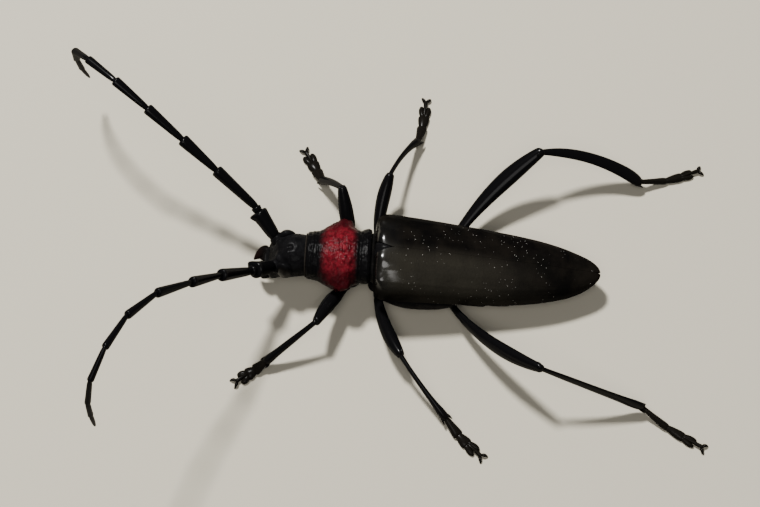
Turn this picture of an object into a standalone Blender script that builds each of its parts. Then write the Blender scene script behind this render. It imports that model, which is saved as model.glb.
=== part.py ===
# A life-size model of a red-necked longhorn beetle, standing still on six feet.
# The body lies along X with the head towards -X, the beetle's right side is +Y, and the floor is z = 0.
# All sizes and places below are in millimetres of the real animal. Meshes are made in metres.

import math

import bmesh
import bpy
from mathutils import Matrix, Vector

MM = 0.001
GAP = 0.3                 # clear space that neighbouring pieces keep
JOINT_CLEARANCE = 1.05    # extra gap at a bent joint, as a share of the end's radius
UP = Vector((0.0, 0.0, 1.0))
SIDES = {"right": 1.0, "left": -1.0}

# Middle of the floor area that feet and feelers span, which becomes the origin
STANCE_CENTRE = Vector((0.7, 0.0, 0.0))

# Lengthwise places of the body
MOUTH_X = -11.0
NECK_X = -7.2
WAIST_X = -0.85
ELYTRA_FRONT_X = -0.55
ELYTRA_TIP_X = 21.8
CHEST_BACK_X = 7.6
ABDOMEN_BACK_X = 18.0
ABDOMEN_TIP_X = 19.7

# Wing covers
SHOULDER_HALF_WIDTH = 4.55
TAPERED_HALF_WIDTH = 3.35  # what the straight taper would reach at the tip
TIP_START = 5.0            # a higher power keeps the sides straight for longer
TIP_ROUNDING = 0.62        # a lower power makes a blunter tip
SHOULDER_ROUND = 1.25      # length over which the front corners round off
SHOULDER_START = 0.74      # share of the width at the very front
DOME_HEIGHT = 2.95
DOME_SQUARENESS = 2.35
COVER_THICKNESS = 0.6
MARGIN_HEIGHTS = ((-0.6, 4.75), (2.9, 4.35), (8.8, 3.45), (14.6, 2.85), (19.0, 2.70), (21.8, 3.25))
TRUNK_CLEARANCE = 0.42     # between the trunk and the wing covers over it
TRUNK_LOWERING = 0.2       # how much further down the trunk's back lies, clear of the covers' inner edges
CHEST_SQUARENESS = 2.7     # the chest's full sides show below the wing covers
COVER_BACK_X = 16.0        # the rounded tip takes closer rings from here on
SUTURE_HALF_GAP = 0.15
SCUTELLUM_LENGTH = 1.7
SCUTELLUM_HALF_WIDTH = 0.75
SCUTELLUM_END_HALF_WIDTH = 0.1
SCUTELLUM_THICKNESS = 0.5
SCUTELLUM_SINK = 0.05      # how far it lies below the crest of the wing covers
TIP_CLEFT_LENGTH = 1.1
TIP_CLEFT_HALF_WIDTH = 0.15

# Shell colours as (red, green, blue), roughness
BLACK_SHELL = ((0.010, 0.010, 0.011), 0.28)
BLACK_LIMB = ((0.008, 0.008, 0.009), 0.32)
BLACK_COVER = ((0.020, 0.018, 0.016), 0.42)
RED_SHELL = ((0.300, 0.010, 0.022), 0.25)
DARK_EYE = ((0.012, 0.009, 0.008), 0.18)
DARK_BELLY = ((0.014, 0.013, 0.013), 0.40)


# Scene and node helpers

def clear_scene():
    for old in list(bpy.data.objects):
        bpy.data.objects.remove(old, do_unlink=True)


def shell_material(name, finish):
    colour, roughness = finish
    material = bpy.data.materials.new(name)
    material.use_nodes = True
    shader = material.node_tree.nodes["Principled BSDF"]
    shader.inputs["Base Color"].default_value = (*colour, 1.0)
    shader.inputs["Roughness"].default_value = roughness
    shader.inputs["Metallic"].default_value = 0.0
    return material


def mesh_object(name, points, faces):
    mesh = bpy.data.meshes.new(name)
    mesh.from_pydata([point * MM for point in points], [], faces)
    mesh.update()
    made = bpy.data.objects.new(name, mesh)
    bpy.context.scene.collection.objects.link(made)
    return made


def apply_modifier(target, modifier):
    bpy.context.view_layer.update()
    graph = bpy.context.evaluated_depsgraph_get()
    shaped = bpy.data.meshes.new_from_object(target.evaluated_get(graph))
    target.modifiers.remove(modifier)
    old = target.data
    target.data = shaped
    bpy.data.meshes.remove(old)


def join(name, pieces):
    """One closed body from overlapping closed pieces."""
    first, others = pieces[0], pieces[1:]
    group = bpy.data.collections.new(name + "_pieces")
    bpy.context.scene.collection.children.link(group)
    for piece in others:
        bpy.context.scene.collection.objects.unlink(piece)
        group.objects.link(piece)
    union = first.modifiers.new("union", "BOOLEAN")
    union.operation = "UNION"
    union.operand_type = "COLLECTION"
    union.collection = group
    union.solver = "EXACT"
    apply_modifier(first, union)
    for piece in others:
        bpy.data.objects.remove(piece, do_unlink=True)
    bpy.data.collections.remove(group)
    first.name = name
    return first


def cut(target, cutter, solver="EXACT"):
    cutter.hide_render = True
    cutter.display_type = "WIRE"
    carve = target.modifiers.new("carve", "BOOLEAN")
    carve.operation = "DIFFERENCE"
    carve.object = cutter
    carve.solver = solver
    apply_modifier(target, carve)
    bpy.data.objects.remove(cutter, do_unlink=True)


def keep_largest_surface(node):
    """Drops loose scraps and the walls of sealed hollows that joining and cutting can leave."""
    shape = bmesh.new()
    shape.from_mesh(node.data)
    unseen = set(shape.faces)
    surfaces = []
    while unseen:
        surface, edge_of_it = set(), [unseen.pop()]
        while edge_of_it:
            face = edge_of_it.pop()
            surface.add(face)
            for edge in face.edges:
                for neighbour in edge.link_faces:
                    if neighbour in unseen:
                        unseen.remove(neighbour)
                        edge_of_it.append(neighbour)
        surfaces.append(surface)
    largest = max(surfaces, key=lambda surface: sum(face.calc_area() for face in surface))
    scraps = [face for surface in surfaces if surface is not largest for face in surface]
    bmesh.ops.delete(shape, geom=scraps, context="FACES")
    shape.to_mesh(node.data)
    shape.free()


def finish_node(node, root, finish, stance):
    """Puts the node's own origin at its root point, shades it round and hangs it on the stance."""
    keep_largest_surface(node)
    node.data.transform(Matrix.Translation(-root * MM))
    node.data.shade_smooth()
    node.data.set_sharp_from_angle(angle=math.radians(50.0))
    node.data.materials.clear()
    node.data.materials.append(shell_material(node.name, finish))
    node.parent = stance
    node.location = root * MM
    return node


# Shape helpers

def smooth_value(at, stations):
    """A smooth curve through (place, value) stations, read at one place."""
    places = [place for place, _ in stations]
    values = [value for _, value in stations]
    if at <= places[0]:
        return values[0]
    if at >= places[-1]:
        return values[-1]
    rises = [
        (values[k + 1] - values[k]) / (places[k + 1] - places[k])
        for k in range(len(stations) - 1)
    ]
    slopes = [rises[0]]
    for before, after in zip(rises, rises[1:]):
        slopes.append(0.0 if before * after <= 0.0 else 2.0 * before * after / (before + after))
    slopes.append(rises[-1])
    k = max(index for index, place in enumerate(places) if place <= at)
    span = places[k + 1] - places[k]
    t = (at - places[k]) / span
    return (
        values[k] * (1.0 + 2.0 * t) * (1.0 - t) ** 2
        + slopes[k] * span * t * (1.0 - t) ** 2
        + values[k + 1] * t * t * (3.0 - 2.0 * t)
        + slopes[k + 1] * span * t * t * (t - 1.0)
    )


def spread(start, end, count):
    return [start + (end - start) * k / (count - 1) for k in range(count)]


def loft(name, rings):
    """A closed body through rings of points, with a flat cap on each end."""
    size = len(rings[0])
    points = [point for ring in rings for point in ring]
    faces = [tuple(reversed(range(size)))]
    for row in range(len(rings) - 1):
        here, there = row * size, (row + 1) * size
        for k in range(size):
            after = (k + 1) % size
            faces.append((here + k, here + after, there + after, there + k))
    last = (len(rings) - 1) * size
    faces.append(tuple(range(last, last + size)))
    made = mesh_object(name, points, faces)
    if body_volume(made) < 0.0:
        made.data.flip_normals()
    return made


def body_volume(made):
    """Six times the signed volume of a closed mesh."""
    made.data.calc_loop_triangles()
    corners = made.data.vertices
    total = 0.0
    for face in made.data.loop_triangles:
        a, b, c = (corners[k].co for k in face.vertices)
        total += a.dot(b.cross(c))
    return total


def superellipse(angle, power):
    """Cosine and sine of a rounded box's outline at this angle."""
    c, s = math.cos(angle), math.sin(angle)
    return (
        math.copysign(abs(c) ** (2.0 / power), c),
        math.copysign(abs(s) ** (2.0 / power), s),
    )


def body_ring(x, half_width, top, bottom, middle, sides, power=2.0):
    """A ring across the body, widest at the height of its middle."""
    ring = []
    for k in range(sides):
        c, s = superellipse(2.0 * math.pi * k / sides, power)
        height = (top - middle) if s >= 0.0 else (middle - bottom)
        ring.append(Vector((x, half_width * c, middle + height * s)))
    return ring


def limb(name, path, half_widths, half_heights, sides):
    """A closed tube along a path, with its own half width and half height at every point."""
    rings = []
    side = None
    for k, point in enumerate(path):
        ahead = (path[min(k + 1, len(path) - 1)] - path[max(k - 1, 0)]).normalized()
        if side is None:
            side = ahead.cross(UP)
        side = (side - ahead * side.dot(ahead)).normalized()
        above = side.cross(ahead)
        ring = []
        for step in range(sides):
            angle = 2.0 * math.pi * step / sides
            ring.append(
                point
                + side * (half_widths[k] * math.cos(angle))
                + above * (half_heights[k] * math.sin(angle))
            )
        rings.append(ring)
    return loft(name, rings)


def ball(name, centre, radii, sides=12, rows=7, turn=None):
    """A closed egg with flat little poles along its own X."""
    turn = turn or Matrix.Identity(3)
    rings = []
    for row in range(rows):
        along = math.cos(math.pi * (row + 0.35) / (rows - 0.3))
        around = math.sqrt(1.0 - along * along)
        ring = []
        for k in range(sides):
            angle = 2.0 * math.pi * k / sides
            local = Vector((
                radii[0] * along,
                radii[1] * around * math.cos(angle),
                radii[2] * around * math.sin(angle),
            ))
            ring.append(centre + turn @ local)
        rings.append(ring)
    return loft(name, rings)


def joint_gap(before, after, radius):
    """How far a piece starts past a joint, so that blunt ends at an angle keep their gap."""
    bend = before.angle(after)
    return GAP + JOINT_CLEARANCE * radius * math.sin(min(bend, math.pi / 2.0))


def grown(radii, more):
    return tuple(radius + more for radius in radii)


def arc_path(start, end, bulge, count):
    """Points on a bowed line from start to end, whose middle is moved by bulge."""
    path = []
    for t in spread(0.0, 1.0, count):
        path.append(start.lerp(end, t) + bulge * (4.0 * t * (1.0 - t)))
    return path


def mirrored(place, side):
    return Vector((place[0], place[1] * SIDES[side], place[2]))


# Wing covers

def cover_share(x):
    """How far along the wing covers this place is, from 0 at the front to 1 at the tip."""
    return (x - ELYTRA_FRONT_X) / (ELYTRA_TIP_X - ELYTRA_FRONT_X)


def cover_closing(x):
    return max(0.0, 1.0 - cover_share(x) ** TIP_START) ** TIP_ROUNDING


def cover_half_width(x):
    taper = SHOULDER_HALF_WIDTH + (TAPERED_HALF_WIDTH - SHOULDER_HALF_WIDTH) * cover_share(x)
    corner = min(1.0, (x - ELYTRA_FRONT_X) / SHOULDER_ROUND)
    shoulder = SHOULDER_START + (1.0 - SHOULDER_START) * math.sqrt(corner * (2.0 - corner))
    return taper * shoulder * cover_closing(x)


def cover_height(x):
    front = smooth_value(x, ((ELYTRA_FRONT_X, 0.80), (ELYTRA_FRONT_X + 2.4, 1.0)))
    back = smooth_value(x, ((6.0, 1.0), (14.0, 0.86), (ELYTRA_TIP_X, 0.60)))
    return DOME_HEIGHT * front * back * cover_closing(x)


def margin_height(x):
    return smooth_value(x, MARGIN_HEIGHTS)


def suture_offset(x):
    """Distance of the inner edge of a wing cover from the middle line."""
    notch = max(0.0, 1.0 - (x - ELYTRA_FRONT_X) / SCUTELLUM_LENGTH)
    cleft = max(0.0, 1.0 - (ELYTRA_TIP_X - x) / TIP_CLEFT_LENGTH)
    return (
        SUTURE_HALF_GAP
        + (SCUTELLUM_HALF_WIDTH + 1.9 * GAP) * notch
        + TIP_CLEFT_HALF_WIDTH * cleft ** 2
    )


def dome_point(x, share, inset, inner_edge):
    """A point on the dome across the body: share 0 is the inner edge and 1 the margin."""
    half_width = cover_half_width(x) - inset
    height = cover_height(x) - inset
    start = math.asin(min(1.0, inner_edge / half_width) ** (DOME_SQUARENESS / 2.0))
    angle = start + (math.pi / 2.0 - start) * share
    across = math.sin(angle) ** (2.0 / DOME_SQUARENESS)
    upward = max(0.0, math.cos(angle)) ** (2.0 / DOME_SQUARENESS)
    return half_width * across, margin_height(x) + height * upward


def cover_ring(x, side, steps):
    thickness = min(COVER_THICKNESS, 0.45 * cover_half_width(x), 0.5 * cover_height(x))
    edge = min(suture_offset(x), 0.45 * cover_half_width(x))
    outer = [dome_point(x, share, 0.0, edge) for share in spread(0.0, 1.0, steps)]
    inner = [dome_point(x, share, thickness, edge) for share in spread(1.0, 0.0, steps)]
    return [Vector((x, SIDES[side] * y, z)) for y, z in outer + inner]


def make_cover(side):
    front = [ELYTRA_FRONT_X + SHOULDER_ROUND * t * t for t in spread(0.0, 1.0, 6)]
    middle = spread(ELYTRA_FRONT_X + SHOULDER_ROUND, COVER_BACK_X, 9)
    back = [
        ELYTRA_TIP_X - (ELYTRA_TIP_X - COVER_BACK_X) * (1.0 - t) ** 2
        for t in spread(0.0, 0.86, 9)
    ]
    stations = front + middle[1:] + back[1:]
    return loft("elytron_" + side, [cover_ring(x, side, 11) for x in stations])


def make_scutellum():
    """The small triangular plate between the front ends of the wing covers."""
    rings = []
    for t in spread(0.0, 0.8, 4):
        x = ELYTRA_FRONT_X + SCUTELLUM_LENGTH * t
        half_width = SCUTELLUM_HALF_WIDTH * (1.0 - t) + SCUTELLUM_END_HALF_WIDTH * t
        top = margin_height(x) + cover_height(x) - SCUTELLUM_SINK
        bottom = top - SCUTELLUM_THICKNESS
        rings.append(body_ring(x, half_width, top, bottom, (top + bottom) / 2.0, 12, 2.6))
    return loft("scutellum", rings)


# Trunk under the wing covers

def trunk_ring(x, belly, side_half_width, steps=7):
    """Belly arc, a ledge just below the margin of the wing covers, and a top under their dome."""
    ledge = margin_height(x) - 1.25 * GAP
    inset = COVER_THICKNESS + TRUNK_CLEARANCE
    half = []
    for share in spread(0.0, 1.0, steps):
        c, s = superellipse(math.pi / 2.0 * (share - 1.0), CHEST_SQUARENESS)
        half.append((side_half_width * c, ledge + (ledge - belly) * s))
    for share in spread(1.0, 0.0, steps):
        across, height = dome_point(x, share, inset, 0.0)
        half.append((across, height - TRUNK_LOWERING))
    right = [Vector((x, y, z)) for y, z in half]
    left = [Vector((x, -y, z)) for y, z in reversed(half[1:-1])]
    return right + left


CHEST_STATIONS = (        # place, belly height, half width under the margin
    (-0.30, 2.60, 2.80),
    (0.60, 2.10, 3.95),
    (3.00, 1.75, 4.50),
    (5.20, 1.55, 4.40),
    (6.60, 1.55, 4.15),
    (7.60, 1.60, 3.90),
)
ABDOMEN_STATIONS = (
    (7.9, 1.60, 3.80),
    (11.0, 1.45, 3.60),
    (15.0, 1.35, 3.00),
    (18.0, 1.50, 2.25),
    (19.7, 2.00, 1.30),
)


def make_trunk(name, stations, places):
    belly = [(x, z) for x, z, _ in stations]
    side = [(x, w) for x, _, w in stations]
    rings = [trunk_ring(x, smooth_value(x, belly), smooth_value(x, side)) for x in places]
    return loft(name, rings)


# Pronotum with its side spines

PRONOTUM_STATIONS = (     # place, half width, top, bottom
    (-7.2, 2.30, 6.30, 2.60),
    (-6.6, 2.42, 6.45, 2.45),
    (-6.1, 2.50, 6.42, 2.40),
    (-5.4, 2.92, 6.60, 2.25),
    (-4.7, 3.12, 6.72, 2.15),
    (-3.9, 3.20, 6.80, 2.15),
    (-3.1, 3.12, 6.75, 2.20),
    (-2.5, 2.86, 6.68, 2.30),
    (-1.9, 2.66, 6.55, 2.60),
    (-1.4, 2.82, 6.70, 2.95),
    (-0.85, 2.70, 6.60, 3.30),
)
PRONOTUM_MIDDLE = 4.5
SPINE_X = -3.85
SPINE_LENGTH = 0.80
SPINE_HALF_LENGTH = 1.15
SPINE_TILT = math.radians(12.0)


def make_pronotum():
    rings = []
    for x in spread(NECK_X, WAIST_X, 19):
        half_width, top, bottom = (
            smooth_value(x, [(row[0], row[column]) for row in PRONOTUM_STATIONS])
            for column in (1, 2, 3)
        )
        ring = body_ring(x, half_width, top, bottom, PRONOTUM_MIDDLE, 32, 2.15)
        near = math.exp(-((x - SPINE_X) / SPINE_HALF_LENGTH) ** 2 * 1.6)
        for k, point in enumerate(ring):
            angle = 2.0 * math.pi * k / len(ring)
            outward = math.cos(angle - SPINE_TILT) if math.cos(angle) > 0.0 else -math.cos(angle + SPINE_TILT)
            point.y += math.copysign(SPINE_LENGTH * near * max(0.0, outward) ** 9, point.y)
        rings.append(ring)
    return loft("pronotum", rings)


# Head

HEAD_STATIONS = (         # place, half width, top, bottom
    (-11.0, 1.62, 3.95, 2.05),
    (-10.7, 1.74, 4.55, 1.95),
    (-10.3, 1.86, 5.15, 1.90),
    (-9.8, 2.02, 5.80, 2.00),
    (-9.1, 2.18, 6.18, 2.20),
    (-8.3, 2.18, 6.30, 2.40),
    (-7.5, 2.08, 6.15, 2.65),
)
HEAD_MIDDLE_SHARE = 0.45   # height of the head's widest line, from its bottom to its top
EYE_CENTRE = (-9.3, 1.75, 4.55)
EYE_RADII = (0.85, 0.66, 1.25)
EYE_TURN = math.radians(14.0)
EYE_NOTCH_RADIUS = 0.86    # the eye bends round the root of the feeler
FEELER_ROOT = (-10.45, 1.62, 4.95)
FEELER_BOSS_RADII = (0.85, 0.70, 0.80)
FEELER_BOSS_OFFSET = (0.15, -0.35, -0.2)
FEELER_SOCKET_RADIUS = 0.80
MANDIBLE_ROOT = (MOUTH_X - 1.4 * GAP, 0.84, 2.60)
MANDIBLE_REACH = (-1.15, -0.62, -0.28)
MANDIBLE_BOW = (-0.05, 0.20, 0.05)
MANDIBLE_HALF_WIDTHS = (0.54, 0.56, 0.48, 0.31, 0.10)
MANDIBLE_HALF_HEIGHTS = (0.45, 0.42, 0.35, 0.25, 0.10)
LIP_STATIONS = (          # place, half width, top, bottom of the upper lip
    (-10.6, 0.70, 3.75, 3.38),
    (-11.3, 0.68, 3.74, 3.36),
    (-11.6, 0.50, 3.68, 3.36),
)
PALP_RADIUS = 0.26
PALP_SWELLS = (1.0, 1.0, 1.15, 0.9)
PALP_LAST_JOINT = 0.6
# Each palp: root on the right side, reach of its first and of its second length
PALPS = (
    ((-10.4, 0.80, 2.15), (-0.80, 0.45, -0.65), (-0.55, -0.25, -0.70)),
    ((-10.1, 0.40, 2.15), (-0.35, 0.05, -0.70), (-0.45, -0.05, -0.45)),
)


def make_head():
    rings = []
    for x in spread(MOUTH_X, HEAD_STATIONS[-1][0], 13):
        half_width, top, bottom = (
            smooth_value(x, [(row[0], row[column]) for row in HEAD_STATIONS])
            for column in (1, 2, 3)
        )
        middle = bottom + (top - bottom) * HEAD_MIDDLE_SHARE
        rings.append(body_ring(x, half_width, top, bottom, middle, 24, 2.1))
    lip = [
        body_ring(x, half_width, top, bottom, (top + bottom) / 2.0, 12, 2.6)
        for x, half_width, top, bottom in LIP_STATIONS
    ]
    pieces = [loft("head_capsule", rings), loft("upper_lip", lip)]
    for side in SIDES:
        boss = mirrored(FEELER_ROOT, side) + mirrored(FEELER_BOSS_OFFSET, side)
        pieces.append(ball("feeler_boss", boss, FEELER_BOSS_RADII, 12, 7))
        for root, first_reach, second_reach in PALPS:
            start = mirrored(root, side)
            knee = start + mirrored(first_reach, side)
            end = knee + mirrored(second_reach, side)
            sizes = [PALP_RADIUS * swell for swell in PALP_SWELLS]
            path = [start, knee, knee.lerp(end, PALP_LAST_JOINT), end]
            pieces.append(limb("palp", path, sizes, sizes, 8))
    head = join("head", pieces)
    for side in SIDES:
        cut(head, eye_ball("eye_socket", side, GAP))
        cut(head, feeler_ball("feeler_socket", side, FEELER_SOCKET_RADIUS))
    return head


def eye_ball(name, side, more):
    turn = Matrix.Rotation(EYE_TURN * SIDES[side], 3, "Z")
    return ball(name, mirrored(EYE_CENTRE, side), grown(EYE_RADII, more), 16, 9, turn)


def feeler_ball(name, side, radius):
    return ball(name, mirrored(FEELER_ROOT, side), (radius, radius, radius), 12, 7)


def make_eye(side):
    eye = eye_ball("eye_" + side, side, 0.0)
    cut(eye, feeler_ball("eye_notch", side, EYE_NOTCH_RADIUS))
    return eye


def make_mandible(side):
    root = mirrored(MANDIBLE_ROOT, side)
    tip = root + mirrored(MANDIBLE_REACH, side)
    path = arc_path(root, tip, mirrored(MANDIBLE_BOW, side), len(MANDIBLE_HALF_WIDTHS))
    return limb("mandible_" + side, path, MANDIBLE_HALF_WIDTHS, MANDIBLE_HALF_HEIGHTS, 10)


# Feelers

FEELER_LENGTHS = (3.0, 0.55, 5.3, 4.45, 4.5, 4.05, 3.8, 3.2, 3.1, 2.6, 2.75)
FEELER_BASE_RADII = (0.46, 0.28, 0.29, 0.28, 0.28, 0.27, 0.27, 0.26, 0.26, 0.25, 0.25)
FEELER_END_RADII = (0.80, 0.36, 0.60, 0.54, 0.50, 0.46, 0.41, 0.37, 0.33, 0.30, 0.14)
# Along each segment: share of its length, share of its widening that is reached there
FEELER_SWELL = ((0.45, 0.40), (0.82, 0.92))
FEELER_RIM_LENGTH = 0.18
FEELER_RIM_SHARE = 0.72
FEELER_STEP = 0.02        # between the end of one segment and the neck of the next
SCAPE_TOOTH_LENGTH = 0.28 # how far the first segment's outer corner stands out of its rim
SCAPE_TOOTH_RADII = (0.34, 0.26, 0.10)
FEELER_NODES = (
    ("base", (0,)),
    ("lower", (1, 2)),
    ("middle", (3, 4)),
    ("upper", (5, 6)),
    ("outer", (7, 8)),
    ("tip", (9, 10)),
)
# Each row: segment number, heading in the floor plane from +X, climb, both in degrees
FEELER_COURSES = {
    "right": ((0, 131, 28), (1, 128, 29), (2, 147, 29), (5, 148, 25), (7, 134, -34),
              (8, 113, -75), (9, 83, -81), (10, 65, -77)),
    "left": ((0, 223, 47), (1, 220, 39), (2, 226, 52), (4, 223, 39), (6, 248, 14),
             (8, 243, -68), (9, 245, -84), (10, 255, -88)),
}


def straight_value(at, stations):
    for (before, low), (after, high) in zip(stations, stations[1:]):
        if at <= after:
            return low + (high - low) * (at - before) / (after - before)
    return stations[-1][1]


def feeler_directions(side):
    course = FEELER_COURSES[side]
    directions = []
    for number in range(len(FEELER_LENGTHS)):
        heading = math.radians(straight_value(number, [(row[0], row[1]) for row in course]))
        climb = math.radians(straight_value(number, [(row[0], row[2]) for row in course]))
        directions.append(Vector((
            math.cos(heading) * math.cos(climb),
            math.sin(heading) * math.cos(climb),
            math.sin(climb),
        )))
    return directions


def feeler_joints(side):
    joints = [mirrored(FEELER_ROOT, side)]
    for direction, length in zip(feeler_directions(side), FEELER_LENGTHS):
        joints.append(joints[-1] + direction * length)
    return joints


def make_feeler_length(name, side, numbers):
    """A few segments in one body: each widens to its far end, and a narrow neck leads to the next."""
    joints = feeler_joints(side)
    directions = feeler_directions(side)
    path, radii = [], []
    for number in numbers:
        start, length = joints[number], FEELER_LENGTHS[number]
        base, end = FEELER_BASE_RADII[number], FEELER_END_RADII[number]
        first = 0.0
        if number == numbers[0] and number > 0:
            first = joint_gap(directions[number - 1], directions[number], FEELER_END_RADII[number - 1])
        marks = [(length * share, base + (end - base) * wide) for share, wide in FEELER_SWELL]
        marks = [mark for mark in marks if first + FEELER_STEP < mark[0] < length - 1.5 * FEELER_RIM_LENGTH]
        if length - FEELER_RIM_LENGTH > first + FEELER_STEP:
            marks.append((length - FEELER_RIM_LENGTH, end))
        marks.append((length - FEELER_STEP, end * FEELER_RIM_SHARE))
        for along, radius in [(first, base)] + marks:
            path.append(start + directions[number] * along)
            radii.append(radius)
    made = limb(name, path, radii, radii, 8)
    return join(name, [made, scape_tooth(side)]) if numbers[0] == 0 else made


def scape_tooth(side):
    """The outer front corner of the first segment, which stands out as a blunt tooth."""
    direction = feeler_directions(side)[0]
    outward = UP.cross(direction).normalized() * SIDES[side]
    rim = feeler_joints(side)[1] - direction * (FEELER_RIM_LENGTH + SCAPE_TOOTH_RADII[1])
    far = rim + outward * (FEELER_END_RADII[0] + SCAPE_TOOTH_LENGTH) + direction * SCAPE_TOOTH_RADII[0]
    path = [rim, rim.lerp(far, 0.6), far]
    return limb("scape_tooth", path, SCAPE_TOOTH_RADII, SCAPE_TOOTH_RADII, 6)


# Legs

# Each leg: hip, knee, ankle and claw tip as places on the right side, and how far its thigh and shin bow
LEGS = {
    "front_right": dict(hip=(-2.7, 1.35, 2.3), knee=(-4.1, 6.8, 5.9), ankle=(-6.5, 10.0, 0.95),
                        tip=(-8.7, 13.9, 0.0), thigh_bow=(-0.03, 0.1, -0.1), shin_bow=(0.0, 0.1, 0.2)),
    "front_left": dict(hip=(-2.7, -1.35, 2.3), knee=(-5.8, -6.9, 4.4), ankle=(-10.7, -10.1, 1.1),
                       tip=(-13.7, -12.2, 0.0), thigh_bow=(-0.1, 0.3, -0.1), shin_bow=(0.0, -0.05, 0.1)),
    "middle_right": dict(hip=(-0.4, 1.6, 2.0), knee=(0.5, 9.2, 4.4), ankle=(3.2, 15.1, 0.95),
                         tip=(3.8, 20.6, 0.0), thigh_bow=(-0.36, 0.0, -0.35), shin_bow=(-0.12, 0.33, 0.1)),
    "middle_left": dict(hip=(-0.4, -1.6, 2.0), knee=(2.4, -9.5, 3.5), ankle=(7.2, -15.0, 1.0),
                        tip=(11.0, -18.6, 0.0), thigh_bow=(-0.45, 0.05, -0.35), shin_bow=(-0.1, -0.1, 0.1)),
    "hind_right": dict(hip=(6.0, 1.9, 1.9), knee=(15.4, 11.7, 6.2), ankle=(26.2, 11.4, 1.15),
                       tip=(32.8, 13.7, 0.0), thigh_bow=(-0.57, 0.63, -0.5), shin_bow=(0.1, 0.85, 0.3)),
    "hind_left": dict(hip=(6.0, -1.9, 1.9), knee=(15.6, -11.5, 6.9), ankle=(26.1, -12.9, 1.2),
                      tip=(32.4, -16.6, 0.0), thigh_bow=(-0.62, -0.52, -0.5), shin_bow=(0.0, -0.1, 0.2)),
}
# The right hind leg is turned about its length, so that the broad sides of its thigh and shin face upwards
BROAD_SIDE_UP = ("hind_right",)
HIP_RADII = {"front": (0.85, 0.90, 1.00), "middle": (0.75, 0.90, 0.85), "hind": (0.90, 1.45, 0.75)}
THIGH_END_RADIUS = 0.42
THIGH_FLATNESS = {"front": 0.96, "middle": 0.92, "hind": 0.80}    # width of a thigh as a share of its depth
SHIN_END_RADIUS = 0.40
HIP_CLEARANCE = 0.26
ANKLE_CLEARANCE = 0.95    # room at the ankle, as a share of a plain joint's
SPUR_LENGTH = 0.75
SPUR_RADII = (0.20, 0.15, 0.06)
SPUR_ASIDE = 0.75         # where the spurs stand, as a share of the shin's half width
THIGH_DROP = 0.35         # how steeply a thigh leaves its hip downwards, so that it clears the body's side
# Half depth along the thigh, half width and half depth along the shin, from 0 at the body end to 1 at the far end
THIGH_HALF_DEPTHS = {
    "front": ((0.0, 0.42), (0.16, 0.46), (0.45, 0.74), (0.6, 0.74), (0.8, 0.64), (1.0, 0.42)),
    "middle": ((0.0, 0.42), (0.2, 0.50), (0.45, 0.66), (0.75, 0.76), (0.88, 0.66), (1.0, 0.42)),
    "hind": ((0.0, 0.42), (0.2, 0.50), (0.35, 0.62), (0.55, 0.75), (0.75, 0.82), (0.9, 0.70), (1.0, 0.42)),
}
SHIN_HALF_WIDTHS = {
    "front": ((0.0, 0.25), (0.15, 0.26), (0.5, 0.33), (0.8, 0.38), (0.95, 0.47), (1.0, 0.40)),
    "middle": ((0.0, 0.25), (0.15, 0.25), (0.5, 0.27), (0.75, 0.34), (0.93, 0.43), (1.0, 0.36)),
    "hind": ((0.0, 0.25), (0.5, 0.25), (0.85, 0.28), (0.97, 0.34), (1.0, 0.30)),
}
SHIN_HALF_DEPTHS = {
    "front": ((0.0, 0.30), (0.3, 0.36), (0.6, 0.42), (0.95, 0.48), (1.0, 0.42)),
    "middle": ((0.0, 0.30), (0.6, 0.35), (0.95, 0.42), (1.0, 0.36)),
    "hind": ((0.0, 0.28), (0.1, 0.38), (0.25, 0.48), (0.5, 0.56), (0.75, 0.62), (0.92, 0.54), (1.0, 0.38)),
}
# Half widths of the first segment, of the second and third, and of the necks
FOOT_HALF_WIDTHS = {"front": (0.54, 0.60, 0.34), "middle": (0.47, 0.53, 0.28), "hind": (0.32, 0.41, 0.25)}
# Shares of the foot's length at which its second, third and claw segments begin
FOOT_JOINTS = {"front": (0.34, 0.58, 0.80), "middle": (0.36, 0.60, 0.80), "hind": (0.41, 0.66, 0.81)}
# Each station: joint it is measured from, share of the foot past it, height, half width as a share, half height
FOOT_FIRST = ((0, -0.03, 0.36, 1.00, 0.36), (0, 0.03, 0.34, 0.70, 0.26))
FOOT_FIRST_SWELL = (0.55, 0.80, 0.34)
FOOT_SECOND = ((0, -0.06, 0.42, 0.60, 0.25), (0, 0.06, 0.36, 0.85, 0.34),
               (1, -0.03, 0.33, 1.00, 0.36), (1, 0.03, 0.30, 0.70, 0.26))
FOOT_LOBE = ((1, -0.05, 0.33, 0.50, 0.25), (1, 0.06, 0.30, 0.52, 0.32),
             (2, -0.04, 0.27, 0.50, 0.30), (2, 0.02, 0.22, 0.25, 0.20))
FOOT_LOBE_ASIDE = (0.26, 0.52, 0.62, 0.65)
FOOT_STEM = ((1, -0.06, 0.42, 0.25, 0.27), (1, 0.08, 0.50, 0.25, 0.25), (2, 0.05, 0.50, 0.25, 0.25),
             (2, 0.13, 0.42, 0.29, 0.27))
CLAW_SHARE = 0.92         # share of the foot's length at which the claws begin
CLAW_ASIDE = (0.08, 0.38, 0.46, 0.50)
CLAW_AHEAD = (0.0, 0.25, 0.42, 0.52)
CLAW_HEIGHTS = (0.40, 0.42, 0.22, 0.02)
CLAW_RADII = (0.20, 0.17, 0.12, 0.06)
SOLE_DEPTH = 0.09         # what the feet lose when they are cut level with the floor


def leg_places(leg):
    sizes = LEGS[leg]
    return (Vector(sizes[key]) for key in ("hip", "knee", "ankle", "tip"))


def hip_body(name, leg, more):
    hip, _, _, _ = leg_places(leg)
    return ball(name, hip, grown(HIP_RADII[leg.split("_")[0]], more), 12, 7)


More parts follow.
